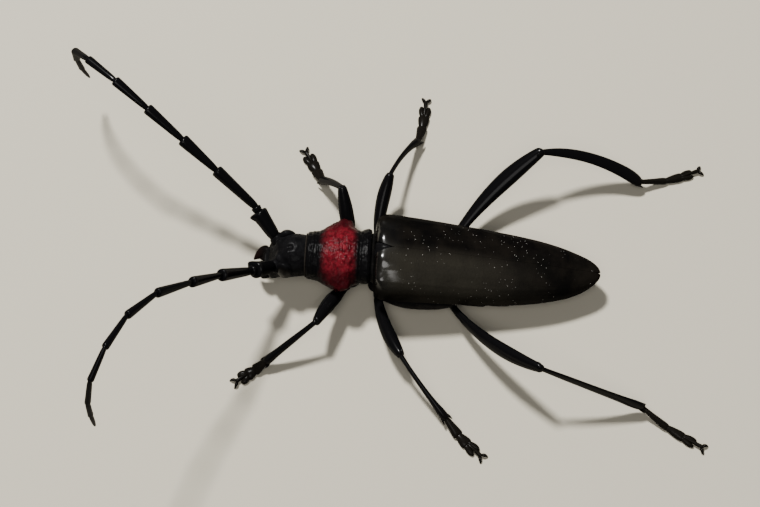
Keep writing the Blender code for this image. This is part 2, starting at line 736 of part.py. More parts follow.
def make_thigh(leg, more=0.0):
    hip, knee, _, _ = leg_places(leg)
    kind = leg.split("_")[0]
    outward = (Vector((knee.x, knee.y, hip.z)) - hip).normalized() - UP * THIGH_DROP
    reach = 1.0 / math.sqrt(sum((outward[k] / (HIP_RADII[kind][k] + GAP)) ** 2 for k in range(3)))
    start = hip + outward * (reach + HIP_CLEARANCE - more)
    path = arc_path(start, knee, Vector(LEGS[leg]["thigh_bow"]), 10)
    depths = [smooth_value(t, THIGH_HALF_DEPTHS[kind]) + more for t in spread(0.0, 1.0, 10)]
    widths = [(depth - more) * THIGH_FLATNESS[kind] + more for depth in depths]
    if leg in BROAD_SIDE_UP:
        widths, depths = depths, widths
    return limb("leg_" + leg + "_femur", path, widths, depths, 12)


def make_shin(leg):
    hip, knee, ankle, _ = leg_places(leg)
    kind = leg.split("_")[0]
    along = (ankle - knee).normalized()
    start = knee + along * joint_gap(knee - hip, along, THIGH_END_RADIUS)
    path = arc_path(start, ankle, Vector(LEGS[leg]["shin_bow"]), 9)
    shares = spread(0.0, 1.0, 9)
    widths = [smooth_value(t, SHIN_HALF_WIDTHS[kind]) for t in shares]
    depths = [smooth_value(t, SHIN_HALF_DEPTHS[kind]) for t in shares]
    if leg in BROAD_SIDE_UP:
        widths, depths = depths, widths
    name = "leg_" + leg + "_tibia"
    pieces = [limb(name, path, widths, depths, 12)]
    across = along.cross(UP).normalized()
    for side in SIDES.values():
        root = path[-2] + across * (side * SPUR_ASIDE * widths[-2])
        far = root + along * SPUR_LENGTH + across * (side * SPUR_RADII[0])
        pieces.append(limb("spur", [root, root.lerp(far, 0.5), far], SPUR_RADII, SPUR_RADII, 6))
    return join(name, pieces)


def make_foot(leg):
    """Four foot segments, the third split in two lobes, and a pair of claws, cut level with the floor."""
    _, knee, ankle, tip = leg_places(leg)
    kind = leg.split("_")[0]
    shin_end = (ankle - knee).normalized()
    flat = Vector((tip.x - ankle.x, tip.y - ankle.y, 0.0))
    length = flat.length
    ahead = flat.normalized()
    across = ahead.cross(UP)
    floor_start = Vector((ankle.x, ankle.y, 0.0))
    first_width, second_width, neck = FOOT_HALF_WIDTHS[kind]
    joints = FOOT_JOINTS[kind]

    def at(share, height, aside=0.0):
        return floor_start + ahead * (length * share) + across * aside + UP * (height - SOLE_DEPTH)

    def foot_piece(stations, width, asides=None, sides=8, lead=()):
        asides = asides or (0.0,) * len(stations)
        path = [point for point, _, _ in lead]
        widths = [half for _, half, _ in lead]
        heights = [half for _, _, half in lead]
        for (joint, past, height, share, half_height), aside in zip(stations, asides):
            path.append(at(joints[joint] + past, height, aside))
            widths.append(width * share)
            heights.append(half_height)
        return limb("foot_piece", path, widths, heights, sides)

    start = ankle + ahead * (joint_gap(shin_end, ahead, SHIN_END_RADIUS) * ANKLE_CLEARANCE)
    swell_share, swell_width, swell_height = FOOT_FIRST_SWELL
    swell = start.lerp(at(joints[0] + FOOT_FIRST[0][1], FOOT_FIRST[0][2]), swell_share)
    lead = ((start, neck, neck), (swell, first_width * swell_width, swell_height))
    pieces = [
        foot_piece(FOOT_FIRST, first_width, lead=lead),
        foot_piece(FOOT_SECOND, second_width),
        foot_piece(FOOT_STEM, 1.0, sides=6),
    ]
    for side in SIDES.values():
        pieces.append(foot_piece(FOOT_LOBE, second_width, [side * second_width * a for a in FOOT_LOBE_ASIDE], 7))
        claw = [
            at(CLAW_SHARE, height, side * aside) + ahead * forward
            for height, aside, forward in zip(CLAW_HEIGHTS, CLAW_ASIDE, CLAW_AHEAD)
        ]
        pieces.append(limb("foot_claw", claw, CLAW_RADII, CLAW_RADII, 5))
    foot = join("leg_" + leg + "_tarsus", pieces)
    cut(foot, floor_slab(), "MANIFOLD")
    return foot


def floor_slab():
    """A slab below the floor, which trims soles to one level."""
    reach, depth = 60.0, 3.0
    points = [Vector((x, y, z)) for z in (-depth, 0.0) for x, y in
              ((-reach, -reach), (reach, -reach), (reach, reach), (-reach, reach))]
    faces = [(3, 2, 1, 0), (4, 5, 6, 7), (0, 1, 5, 4), (1, 2, 6, 5), (2, 3, 7, 6), (3, 0, 4, 7)]
    return mesh_object("floor_slab", points, faces)


# Assembly

def build():
    clear_scene()
    stance = bpy.data.objects.new("stance", None)
    bpy.context.scene.collection.objects.link(stance)
    stance.location = -STANCE_CENTRE * MM

    head = make_head()
    pronotum = make_pronotum()
    chest = make_trunk("thorax", CHEST_STATIONS, spread(CHEST_STATIONS[0][0], CHEST_BACK_X, 10))
    abdomen_places = spread(ABDOMEN_STATIONS[0][0], ABDOMEN_BACK_X, 9) + spread(ABDOMEN_BACK_X, ABDOMEN_TIP_X, 4)[1:]
    abdomen = make_trunk("abdomen", ABDOMEN_STATIONS, abdomen_places)
    for leg in LEGS:
        trunk = pronotum if leg.startswith("front") else chest
        cut(trunk, hip_body("hip_socket", leg, GAP))
        cut(trunk, make_thigh(leg, GAP))

    shoulders = Vector((ELYTRA_FRONT_X, 0.0, margin_height(ELYTRA_FRONT_X)))
    chest_back = Vector((CHEST_BACK_X, 0.0, margin_height(CHEST_BACK_X)))
    finish_node(head, Vector((NECK_X, 0.0, PRONOTUM_MIDDLE)), BLACK_SHELL, stance)
    finish_node(pronotum, Vector((WAIST_X, 0.0, PRONOTUM_MIDDLE)), RED_SHELL, stance)
    finish_node(chest, shoulders, DARK_BELLY, stance)
    finish_node(abdomen, chest_back, DARK_BELLY, stance)
    finish_node(make_scutellum(), shoulders, BLACK_SHELL, stance)

    for leg in LEGS:
        hip, knee, ankle, _ = leg_places(leg)
        finish_node(hip_body("leg_" + leg + "_coxa", leg, 0.0), hip, BLACK_SHELL, stance)
        finish_node(make_thigh(leg), hip, BLACK_LIMB, stance)
        finish_node(make_shin(leg), knee, BLACK_LIMB, stance)
        finish_node(make_foot(leg), ankle, BLACK_LIMB, stance)

    for side in SIDES:
        finish_node(make_cover(side), shoulders, BLACK_COVER, stance)
        finish_node(make_eye(side), mirrored(EYE_CENTRE, side), DARK_EYE, stance)
        finish_node(make_mandible(side), mirrored(MANDIBLE_ROOT, side), BLACK_SHELL, stance)
        joints = feeler_joints(side)
        for part, numbers in FEELER_NODES:
            length = make_feeler_length("antenna_" + side + "_" + part, side, numbers)
            finish_node(length, joints[numbers[0]], BLACK_LIMB, stance)


build()
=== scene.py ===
# The looks of a red-necked longhorn beetle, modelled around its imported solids.
# Lengths are millimetres of the real animal, X runs towards the tail, the beetle's right side is +Y and the
# floor is z = 0. Each piece is scaled to metres and set on the frame's origin when it is finished.

import math

import bpy
from mathutils import Matrix, Vector

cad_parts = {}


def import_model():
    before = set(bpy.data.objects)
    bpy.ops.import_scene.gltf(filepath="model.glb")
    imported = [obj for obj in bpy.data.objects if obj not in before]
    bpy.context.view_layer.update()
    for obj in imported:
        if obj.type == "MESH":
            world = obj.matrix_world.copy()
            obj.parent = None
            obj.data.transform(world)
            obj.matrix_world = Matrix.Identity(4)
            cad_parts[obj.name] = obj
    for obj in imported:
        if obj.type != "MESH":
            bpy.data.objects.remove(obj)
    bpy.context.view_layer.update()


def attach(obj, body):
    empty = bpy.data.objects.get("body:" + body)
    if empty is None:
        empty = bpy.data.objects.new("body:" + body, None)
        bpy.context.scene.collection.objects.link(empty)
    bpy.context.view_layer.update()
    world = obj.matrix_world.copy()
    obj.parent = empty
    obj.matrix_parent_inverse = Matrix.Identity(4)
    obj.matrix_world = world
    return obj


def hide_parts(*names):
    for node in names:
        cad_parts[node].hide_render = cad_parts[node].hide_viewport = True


MM = 0.001
UP = Vector((0.0, 0.0, 1.0))
ORIGIN = (0.0, 0.0, 0.0)
SHARP_ANGLE = math.radians(50.0)  # edges sharper than this stay crisp
SIDES = {"right": 1.0, "left": -1.0}
STANCE_CENTRE = Vector((0.7, 0.0, 0.0))  # where the frame's origin lies in the measures below

# Camera
PHOTO_WIDTH = 760
FOCAL_PIXELS = 1638.4
SENSOR_WIDTH = 36.0
CAMERA_AZIMUTH = math.radians(3.0)
CAMERA_ELEVATION = math.radians(66.0)
CAMERA_DISTANCE = 160.0
CAMERA_TARGET = Vector((0.0, 0.0, 5.7))

# Wing covers (elytra)
ELYTRA_FRONT_X = -0.55
ELYTRA_TIP_X = 21.8
SHOULDER_HALF_WIDTH = 4.55
TAPERED_HALF_WIDTH = 3.35
SHOULDER_ROUND = 1.25
SHOULDER_START = 0.72
TIP_START = 5.0
TIP_ROUNDING = 0.55
DOME_HEIGHT = 2.95
DOME_SQUARENESS = 2.35
COVER_THICKNESS = 0.28
MARGIN_HEIGHTS = ((-0.6, 4.75), (2.9, 4.35), (8.8, 3.45), (14.6, 2.85), (19.0, 2.7), (21.8, 3.25))
SCUTELLUM_LENGTH = 1.7
SCUTELLUM_HALF_WIDTH = 0.75
SCUTELLUM_HALF_HEIGHT = 0.24


# Modelling helpers: each works on the active piece, as by hand

def select_only(*pieces):
    bpy.ops.object.select_all(action="DESELECT")
    for piece in pieces:
        piece.select_set(True)
    bpy.context.view_layer.objects.active = pieces[0]


def settle(piece):
    """Applies the piece's place, turn and size to its mesh."""
    select_only(piece)
    bpy.ops.object.transform_apply(location=True, rotation=True, scale=True)


def in_edit(piece, everything=True):
    select_only(piece)
    bpy.ops.object.mode_set(mode="EDIT")
    bpy.ops.mesh.select_all(action="SELECT" if everything else "DESELECT")


def out_of_edit():
    bpy.ops.object.mode_set(mode="OBJECT")


def edit_corners(piece, chosen):
    """Enters edit mode with only the chosen corners selected."""
    in_edit(piece, everything=False)
    out_of_edit()
    for corner in piece.data.vertices:
        corner.select = chosen(corner)
    bpy.ops.object.mode_set(mode="EDIT")


def edit(piece, operator, **settings):
    """Runs one edit mode operator on all of the piece."""
    in_edit(piece)
    operator(**settings)
    out_of_edit()


def face_outwards(piece):
    edit(piece, bpy.ops.mesh.normals_make_consistent, inside=False)


def add_shape(name, operator, **settings):
    """Adds one of Blender's primitives as the only selected piece."""
    bpy.ops.object.select_all(action="DESELECT")
    operator(**settings)
    piece = bpy.context.object
    piece.name = name
    return piece


def add_modifier(piece, kind, **settings):
    """Adds a modifier, gives it its settings and applies it."""
    select_only(piece)
    modifier = piece.modifiers.new(kind.lower(), kind)
    for key, value in settings.items():
        setattr(modifier, key, value)
    bpy.ops.object.modifier_apply(modifier=modifier.name)


def bevel_edges(piece, width):
    add_modifier(piece, "BEVEL", width=width, segments=2, limit_method="ANGLE", angle_limit=SHARP_ANGLE)


def refine(piece, levels):
    add_modifier(piece, "SUBSURF", levels=levels, render_levels=levels)


def flat_ring(name, sides, fill):
    """A ring of radius 1 that stands across X."""
    turn = (0.0, math.pi / 2.0, 0.0)
    ring = add_shape(
        name, bpy.ops.mesh.primitive_circle_add, vertices=sides, radius=1.0, fill_type=fill, rotation=turn,
    )
    settle(ring)
    return ring


def smooth_value(at, stations):
    """A smooth curve through (place, value) stations, read at one place."""
    places = [place for place, _ in stations]
    values = [value for _, value in stations]
    if at <= places[0]:
        return values[0]
    if at >= places[-1]:
        return values[-1]
    rises = [
        (values[k + 1] - values[k]) / (places[k + 1] - places[k])
        for k in range(len(stations) - 1)
    ]
    slopes = [rises[0]]
    for before, after in zip(rises, rises[1:]):
        slopes.append(0.0 if before * after <= 0.0 else 2.0 * before * after / (before + after))
    slopes.append(rises[-1])
    k = max(index for index, place in enumerate(places) if place <= at)
    span = places[k + 1] - places[k]
    t = (at - places[k]) / span
    return (
        values[k] * (1.0 + 2.0 * t) * (1.0 - t) ** 2
        + slopes[k] * span * t * (1.0 - t) ** 2
        + values[k + 1] * t * t * (3.0 - 2.0 * t)
        + slopes[k + 1] * span * t * t * (t - 1.0)
    )


def spread(start, end, count):
    return [start + (end - start) * k / (count - 1) for k in range(count)]


def mirrored(place, side):
    return Vector((place[0], place[1] * SIDES[side], place[2]))


def rounded_box(angle, squareness):
    """Cosine and sine on the outline of a rounded box."""
    c, s = math.cos(angle), math.sin(angle)
    return (
        math.copysign(abs(c) ** (2.0 / squareness), c),
        math.copysign(abs(s) ** (2.0 / squareness), s),
    )


def draw_out(name, stations, sides, squareness=2.0):
    """A filled ring across X, extruded and resized from station to station.

    A station is its place along X, half width, half height, and its middle's place across and up."""
    piece = flat_ring(name, sides, "NGON")
    if squareness != 2.0:
        for corner in piece.data.vertices:
            c, s = rounded_box(math.atan2(corner.co.z, corner.co.y), squareness)
            corner.co = (0.0, c, s)
    x, half_width, half_height, across, up = stations[0]
    in_edit(piece)
    bpy.ops.transform.resize(value=(1.0, half_width, half_height), center_override=ORIGIN)
    bpy.ops.transform.translate(value=(x, across, up))
    for before, here in zip(stations, stations[1:]):
        middle = (here[0], here[3], here[4])
        step = (here[0] - before[0], here[3] - before[3], here[4] - before[4])
        growth = (1.0, here[1] / before[1], here[2] / before[2])
        bpy.ops.mesh.extrude_region_move(TRANSFORM_OT_translate={"value": step})
        bpy.ops.transform.resize(value=growth, center_override=middle)
    out_of_edit()
    face_outwards(piece)
    return piece


def frame_between(start, end):
    """Turn and place that carry a piece modelled along +X onto the line from start to end."""
    along = (end - start).normalized()
    across = UP.cross(along).normalized()
    above = along.cross(across)
    return Matrix.Translation(start) @ Matrix((along, across, above)).transposed().to_4x4()


def strand(name, path, half_widths, half_heights, sides, squareness=2.0):
    """A closed length along a gently bent path, with its own half width and half height at each point."""
    place = frame_between(path[0], path[-1])
    back = place.inverted()
    stations = []
    for point, half_width, half_height in zip(path, half_widths, half_heights):
        x, y, z = back @ point
        stations.append((x, half_width, half_height, y, z))
    piece = draw_out(name, stations, sides, squareness)
    piece.matrix_world = place
    settle(piece)
    refine(piece, 1)
    return piece


def bow_share(share):
    """How far a bowed line stands off at a share of its length: 0 at its ends and 1 in the middle."""
    return 4.0 * share * (1.0 - share)


def limb(name, start, end, profile, sides=20, bow=ORIGIN, squareness=2.0):
    """A bowed, tapering length from start to end.

    The profile's rows are share of the length, half width and half depth."""
    shares, half_widths, half_depths = zip(*profile)
    path = [start.lerp(end, share) + Vector(bow) * bow_share(share) for share in shares]
    return strand(name, path, half_widths, half_depths, sides, squareness)


def round_profile(rows, radius=1.0):
    return [(share, radius * wide, radius * wide) for share, wide in rows]


def body_stations(places, table, swell=None):
    """Stations of the head or neck shield. The table's rows are place, half width, top and bottom."""
    stations = []
    for x in places:
        half_width, top, bottom = (
            smooth_value(x, [(row[0], row[column]) for row in table]) for column in (1, 2, 3)
        )
        rise = swell(x) if swell else 0.0
        stations.append((x, half_width + rise, (top - bottom) / 2.0 + rise, 0.0, (top + bottom) / 2.0))
    return stations


def pull(piece, place, move, reach, falloff="SMOOTH"):
    """Moves the nearest corner of the mesh, and what lies within reach of it less and less."""
    target = Vector(place)
    nearest = min(piece.data.vertices, key=lambda corner: (corner.co - target).length_squared).index
    edit_corners(piece, lambda corner: corner.index == nearest)
    bpy.ops.transform.translate(
        value=tuple(move), use_proportional_edit=True, proportional_edit_falloff=falloff,
        proportional_size=reach,
    )
    out_of_edit()


def raise_bumps(piece, bumps, side):
    """Pulls each bump or hollow, whose row is its place and move on the right side, reach and falloff."""
    for place, move, *rest in bumps:
        pull(piece, mirrored(place, side), mirrored(move, side), *rest)


def join(name, pieces):
    select_only(*pieces)
    if len(pieces) > 1:
        bpy.ops.object.join()
    pieces[0].name = name
    pieces[0].data.name = name
    return pieces[0]


def carve(piece, cutter):
    add_modifier(piece, "BOOLEAN", operation="DIFFERENCE", object=cutter, solver="EXACT")
    bpy.data.objects.remove(cutter, do_unlink=True)


def trim_at_floor(piece):
    """Cuts the piece level with the floor and closes the flat soles."""
    edit(piece, bpy.ops.mesh.bisect, plane_co=ORIGIN, plane_no=tuple(UP), use_fill=True, clear_inner=True)


def finish_piece(piece, material, slot, *nodes):
    """Scales the piece to metres, shades it and hangs it on the frame in the place of its solids."""
    piece.scale = (MM, MM, MM)
    piece.location = -STANCE_CENTRE * MM
    settle(piece)
    piece.data.materials.clear()
    piece.data.materials.append(material)
    select_only(piece)
    bpy.ops.object.shade_smooth_by_angle(angle=SHARP_ANGLE)
    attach(piece, "root")
    if nodes:
        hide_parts(*nodes)


# Shader sums

def operator_pair(operation):
    """A Python operator and its reflected form, each of which adds one Math node."""
    return (
        lambda self, other: self.sum_of(operation, self, other),
        lambda self, other: self.sum_of(operation, other, self),
    )


class Signal:
    """A shader socket that takes part in Python sums, which become Math nodes."""

    def __init__(self, recipe, socket):
        self.recipe = recipe
        self.socket = socket

    def sum_of(self, operation, first, second, clamp=False):
        return self.recipe.node("Math", dict(operation=operation, use_clamp=clamp), {0: first, 1: second})

    __add__, __radd__ = operator_pair("ADD")
    __sub__, __rsub__ = operator_pair("SUBTRACT")
    __mul__, __rmul__ = operator_pair("MULTIPLY")
    __truediv__, __rtruediv__ = operator_pair("DIVIDE")

    def clamped(self):
        return self.sum_of("ADD", self, 0.0, clamp=True)

    def step(self, low, high):
        """0 below low, 1 above high, and a soft ramp between. It falls where low is above high."""
        return self.recipe.node(
            "MapRange", dict(interpolation_type="SMOOTHSTEP"),
            {"Value": self, "From Min": low, "From Max": high},
        )


class Recipe:
    """The nodes of one finish."""

    def __init__(self, name):
        self.material = bpy.data.materials.new(name)
        self.material.use_nodes = True
        self.tree = self.material.node_tree
        self.shader = self.tree.nodes["Principled BSDF"]

    def feed(self, socket, value):
        if isinstance(value, Signal):
            self.tree.links.new(value.socket, socket)
        elif socket.type == "RGBA":
            socket.default_value = (*value, 1.0)
        else:
            socket.default_value = value

    def node(self, kind, settings=None, sockets=None, output=0):
        """Adds a node of any type: its settings first, then the values or links of its sockets."""
        made = self.tree.nodes.new("ShaderNode" + kind)
        for key, value in (settings or {}).items():
            setattr(made, key, value)
        for key, value in (sockets or {}).items():
            self.feed(made.inputs[key], value)
        return Signal(self, made.outputs[output])

    def place(self, stretch=(1.0, 1.0, 1.0)):
        """Object coordinates in millimetres, stretched along each axis."""
        spot = self.node("TexCoord", output=3)
        return self.node("Mapping", None, {"Vector": spot, "Scale": tuple(s / MM for s in stretch)})

    def axis(self, name):
        """One coordinate in the millimetres used here."""
        number = "XYZ".index(name)
        return self.node("SeparateXYZ", None, {0: self.place()}, number) + STANCE_CENTRE[number]

    def noise(self, size, detail=2.0, roughness=0.5, stretch=(1.0, 1.0, 1.0)):
        return self.node("TexNoise", None, {
            "Vector": self.place(stretch), "Scale": 1.0 / size, "Detail": detail, "Roughness": roughness,
        })

    def cells(self, size, feature="F1", randomness=1.0):
        return self.node("TexVoronoi", dict(feature=feature), {
            "Vector": self.place(), "Scale": 1.0 / size, "Randomness": randomness,
        })

    def pits(self, size):
        """Small round pits, 0 in the middle of each."""
        return self.cells(size).step(0.0, 0.5)

    def mix(self, share, first, second):
        """A colour between two colours."""
        made = self.tree.nodes.new("ShaderNodeMix")
        made.data_type = "RGBA"
        self.feed(made.inputs[0], share)
        self.feed(made.inputs[6], first)
        self.feed(made.inputs[7], second)
        return Signal(self, made.outputs[2])

    def bump(self, height, depth):
        """Turns a height from 0 to 1 into a surface relief of this depth in millimetres."""
        return self.node("Bump", None, {"Height": height, "Distance": depth * MM, "Strength": 1.0})

    def surface(self, **sockets):
        for name, value in sockets.items():
            self.feed(self.shader.inputs[name.replace("_", " ")], value)
        return self.material


# Finishes
# The coat takes no bump, so it gives the large smooth glints, and the specular level the broken ones.

BLACK = (0.003, 0.0029, 0.0032)


def wing_cover_finish():
    """Black leathery shell, glossy on the front humps, with grains of dust, and a grey-brown sheen painted
    on its left side.
    """
    recipe = Recipe("wing_cover")
    x, y, z = (recipe.axis(name) for name in "XYZ")
    patches = recipe.noise(2.4, detail=4.0, roughness=0.6)
    grain = recipe.cells(0.13)
    wrinkles = recipe.noise(0.2, detail=3.0, roughness=0.6, stretch=(1.6, 0.7, 0.7))
    pits = recipe.noise(0.07, detail=2.0)
    lumps = recipe.cells(0.38, feature="SMOOTH_F1")
    dust_share = recipe.noise(2.6, detail=1.0).step(0.44, 0.62) * x.step(0.5, 3.0)
    dust = recipe.cells(0.32).step(0.11, 0.05) * dust_share
    front = x.step(2.6, 0.6)
    gloss = front * z.step(5.9, 6.6) * y.step(3.2, 2.4)
    # Painted sheen: grey-brown colour laid over the top and flank of the left cover only.
    painted_sheen = y.step(0.9, -1.2) * y.step(-4.8, -3.4) * x.step(-0.4, 1.2) * x.step(19.0, 7.0)
    darkest, brownish = (0.0024, 0.0022, 0.0021), (0.0062, 0.0053, 0.0042)
    painted_sheen_colour, dust_colour = (0.0235, 0.0215, 0.0165), (0.5, 0.48, 0.44)
    colour = recipe.mix(patches.step(0.35, 0.7), darkest, brownish)
    colour = recipe.mix(painted_sheen * (0.15 + patches * 0.5 + wrinkles * 0.5), colour, painted_sheen_colour)
    colour = recipe.mix(dust * 0.9, colour, dust_colour)
    return recipe.surface(
        Base_Color=colour,
        Roughness=0.46 + (patches - 0.5) * 0.14,
        Specular_IOR_Level=0.0,
        Coat_Weight=0.04 + gloss * 0.96,
        Coat_Roughness=0.18,
        Normal=recipe.bump(grain * 0.5 + wrinkles * 0.6 + pits * 0.2 + lumps * front * 0.7, 0.034),
    )


def black_shell_finish():
    """Glossy black shell of the head, hips and small plates, with pits and wrinkles."""
    recipe = Recipe("black_shell")
    cloud = recipe.noise(1.1, detail=3.0)
    pits = recipe.pits(0.12)
    wrinkles = recipe.noise(0.16, detail=2.0, stretch=(1.0, 0.6, 0.8))
    grey_black = (0.007, 0.0068, 0.0074)
    return recipe.surface(
        Base_Color=recipe.mix(cloud.step(0.3, 0.75), BLACK, grey_black),
        Roughness=0.2 + cloud * 0.14,
        Specular_IOR_Level=0.009,
        Coat_Weight=0.025,
        Coat_Roughness=0.24,
        Normal=recipe.bump(pits * 0.6 + wrinkles * 0.8, 0.038),
    )


def limb_finish():
    """Glossy black of legs and feelers under a very short pelt that lies flat, browner near the floor,
    partly the pelt's colour and partly a painted reflection of the floor.
    """
    recipe = Recipe("black_limb")
    cloud = recipe.noise(0.9, detail=3.0)
    hair = recipe.noise(0.05, detail=2.0)
    pits = recipe.pits(0.15)
    # Browner near the floor: partly the pelt's own colour, partly a painted reflection of the pale floor.
    low = recipe.axis("Z").step(2.4, 0.2)
    brown_black = (0.007, 0.0056, 0.0044)
    return recipe.surface(
        Base_Color=recipe.mix(low * 0.8, BLACK, brown_black),
        Roughness=0.22 + cloud * 0.12 + low * 0.06,
        Specular_IOR_Level=0.0,
        Coat_Weight=0.15,
        Coat_Roughness=0.17,
        Normal=recipe.bump(pits * 0.5 + hair * 0.3, 0.022),
    )


def foot_finish():
    """Black feet with grey-brown felt on their soles."""
    recipe = Recipe("foot")
    tufts = recipe.noise(0.06, detail=3.0)
    pits = recipe.pits(0.14)
    sole = (recipe.axis("Z") + tufts * 0.16).step(0.3, 0.12)
    felt = recipe.mix(tufts.step(0.35, 0.7), (0.018, 0.014, 0.009), (0.07, 0.056, 0.038))
    top = recipe.mix(tufts.step(0.3, 0.7), (0.0036, 0.0033, 0.003), (0.0095, 0.008, 0.006))
    return recipe.surface(
        Base_Color=recipe.mix(sole, top, felt),
        Roughness=0.28 + sole * 0.4,
        Specular_IOR_Level=0.0,
        Coat_Weight=0.1,
        Coat_Roughness=0.22,
        Normal=recipe.bump(pits * 0.5 + tufts * (0.4 + sole), 0.028),
    )


def neck_shield_finish():
    """Rugged glossy red in the middle, and black in front, behind and underneath; on the red, painted light
    along the top and painted shade down the sides.
    """
    recipe = Recipe("neck_shield")
    x, y, z = (recipe.axis(name) for name in "XYZ")
    sway = (recipe.noise(0.9, detail=3.0) - 0.5) * 1.1
    front = (x + sway * 0.8).step(-6.05, -4.75)
    back = (x + sway * 0.6).step(-2.05, -3.05)
    below = (z + sway * 0.6).step(2.5, 3.6)
    red = front * back * below
    blotches = recipe.noise(0.55, detail=4.0, roughness=0.65)
    folds = recipe.cells(0.37, feature="SMOOTH_F1")
    # Share for painted light and shade: the red is painted lit along the top and shaded towards the sides.
    lit_top_share = 1.0 - (y * y / 9.0).clamped()  # 1 along the middle, 0 from 3 mm aside
    dark_red, full_red = (0.033, 0.0026, 0.0042), (0.108, 0.0064, 0.0116)
    painted_light_red, painted_shade_maroon = (0.175, 0.011, 0.0195), (0.02, 0.0024, 0.0036)
    colour = recipe.mix(blotches.step(0.35, 0.65), dark_red, full_red)
    # Painted highlight: brighter red in the folds along the top.
    colour = recipe.mix(folds.step(0.5, 0.12) * lit_top_share * 0.5, colour, painted_light_red)
    # Painted shade: the red darkens to maroon down both sides.
    colour = recipe.mix(lit_top_share.step(0.7, 0.0) * 0.85, colour, painted_shade_maroon)
    fine = recipe.noise(0.09, detail=2.0)
    return recipe.surface(
        Base_Color=recipe.mix(red, BLACK, colour),
        Roughness=0.14 + blotches * 0.07,
        Specular_IOR_Level=0.026,
        Normal=recipe.bump(folds * (1.0 - red * 0.3) + fine * 0.25, 0.09),
    )


def collar_finish():
    """Grey-brown skin in the fold between the head and the neck shield."""
    recipe = Recipe("collar_skin")
    creases = recipe.noise(0.1, detail=3.0, stretch=(2.0, 0.6, 0.6))
    return recipe.surface(
        Base_Color=recipe.mix(creases.step(0.3, 0.7), (0.008, 0.0068, 0.0056), (0.024, 0.021, 0.017)),
        Roughness=0.6,
        Specular_IOR_Level=0.02,
        Normal=recipe.bump(creases, 0.03),
    )


def eye_finish():
    """Near-black compound eye with fine facets."""
    recipe = Recipe("compound_eye")
    facets = recipe.cells(0.055, randomness=0.25)
    return recipe.surface(
        Base_Color=recipe.mix(facets.step(0.1, 0.6), (0.005, 0.0038, 0.0034), (0.0026, 0.0023, 0.0023)),
        Roughness=0.22,
        Specular_IOR_Level=0.06,
        Normal=recipe.bump(facets.step(0.75, 0.0), 0.006),
    )


def mouth_finish():
    """Jaws, lips and feelers of the mouth: black at the root and dark reddish brown further out."""
    recipe = Recipe("mouth_parts")
    outer = recipe.axis("X").step(-11.4, -12.4)
    scratches = recipe.noise(0.12, detail=3.0, stretch=(0.4, 1.2, 1.2))
    return recipe.surface(
        Base_Color=recipe.mix(outer * 0.9, (0.0032, 0.0028, 0.0027), (0.007, 0.0036, 0.003)),
        Roughness=0.24 + scratches * 0.16,
        Specular_IOR_Level=0.012,
        Normal=recipe.bump(scratches, 0.02),
    )


def belly_finish():
    """Dull black underside under a thin grey bloom of short hair."""
    recipe = Recipe("underside")
    bloom = recipe.noise(0.7, detail=4.0, roughness=0.65)
    hair = recipe.noise(0.06, detail=2.0, stretch=(0.5, 1.4, 1.4))
    pale = bloom.step(0.4, 0.75) * hair.step(0.4, 0.7)
    return recipe.surface(
        Base_Color=recipe.mix(pale, (0.0045, 0.0043, 0.0043), (0.024, 0.022, 0.019)),
        Roughness=0.4 + hair * 0.2,
        Specular_IOR_Level=0.03,
        Normal=recipe.bump(hair, 0.03),
    )


# Wing covers

def cover_share(x):
    return (x - ELYTRA_FRONT_X) / (ELYTRA_TIP_X - ELYTRA_FRONT_X)


def cover_closing(x):
    return max(0.0, 1.0 - cover_share(x) ** TIP_START) ** TIP_ROUNDING


# Shares of the dome's height at places along the shoulder and along the back
SHOULDER_HEIGHT_SHARES = (
    (-0.55, 0.55), (-0.45, 0.71), (-0.25, 0.84), (0.1, 0.93), (0.6, 0.975), (1.9, 1.0),
)
BACK_HEIGHT_SHARES = ((6.0, 1.0), (14.0, 0.86), (21.8, 0.6))


def cover_half_width(x):
    taper = SHOULDER_HALF_WIDTH + (TAPERED_HALF_WIDTH - SHOULDER_HALF_WIDTH) * cover_share(x)
    corner = min(1.0, (x - ELYTRA_FRONT_X) / SHOULDER_ROUND)
    shoulder = SHOULDER_START + (1.0 - SHOULDER_START) * math.sqrt(corner * (2.0 - corner))
    return taper * shoulder * cover_closing(x)


def cover_height(x):
    front = smooth_value(x, SHOULDER_HEIGHT_SHARES)
    return DOME_HEIGHT * front * smooth_value(x, BACK_HEIGHT_SHARES) * cover_closing(x)


def margin_height(x):
    return smooth_value(x, MARGIN_HEIGHTS)


COVER_COLUMNS = 36
RIB_PLACES = (0.3, 0.52)  # two faint ribs along the cover, as shares of the arc from the suture
RIB_RISE = 0.008
RIB_WIDTH = 0.035
SUTURE_RISE = 0.012
SUTURE_WIDTH = 0.05
MARGIN_FLARE = 0.014
MARGIN_WIDTH = 0.06


def cover_profile_rise(share):
    """How far the arc stands out at a share of the way from the suture to the margin."""
    rise = sum(RIB_RISE * math.exp(-((share - place) / RIB_WIDTH) ** 2) for place in RIB_PLACES)
    rise += SUTURE_RISE * math.exp(-(share / SUTURE_WIDTH) ** 2)
    return 1.0 + rise + MARGIN_FLARE * math.exp(-((1.0 - share) / MARGIN_WIDTH) ** 2)


def cover_arc(name):
    """The quarter arc across one wing cover, of unit width and height."""
    arc = flat_ring(name, 4 * COVER_COLUMNS, "NOTHING")
    edge = -1e-4
    edit_corners(arc, lambda corner: corner.co.y < edge or corner.co.z < edge)
    bpy.ops.mesh.delete(type="VERT")
    out_of_edit()
    for corner in arc.data.vertices:
        angle = math.atan2(max(corner.co.y, 0.0), max(corner.co.z, 0.0))
        rise = cover_profile_rise(angle / (math.pi / 2.0))
        corner.co = (
            0.0,
            rise * max(0.0, math.sin(angle)) ** (2.0 / DOME_SQUARENESS),
            rise * max(0.0, math.cos(angle)) ** (2.0 / DOME_SQUARENESS),
        )
    return arc


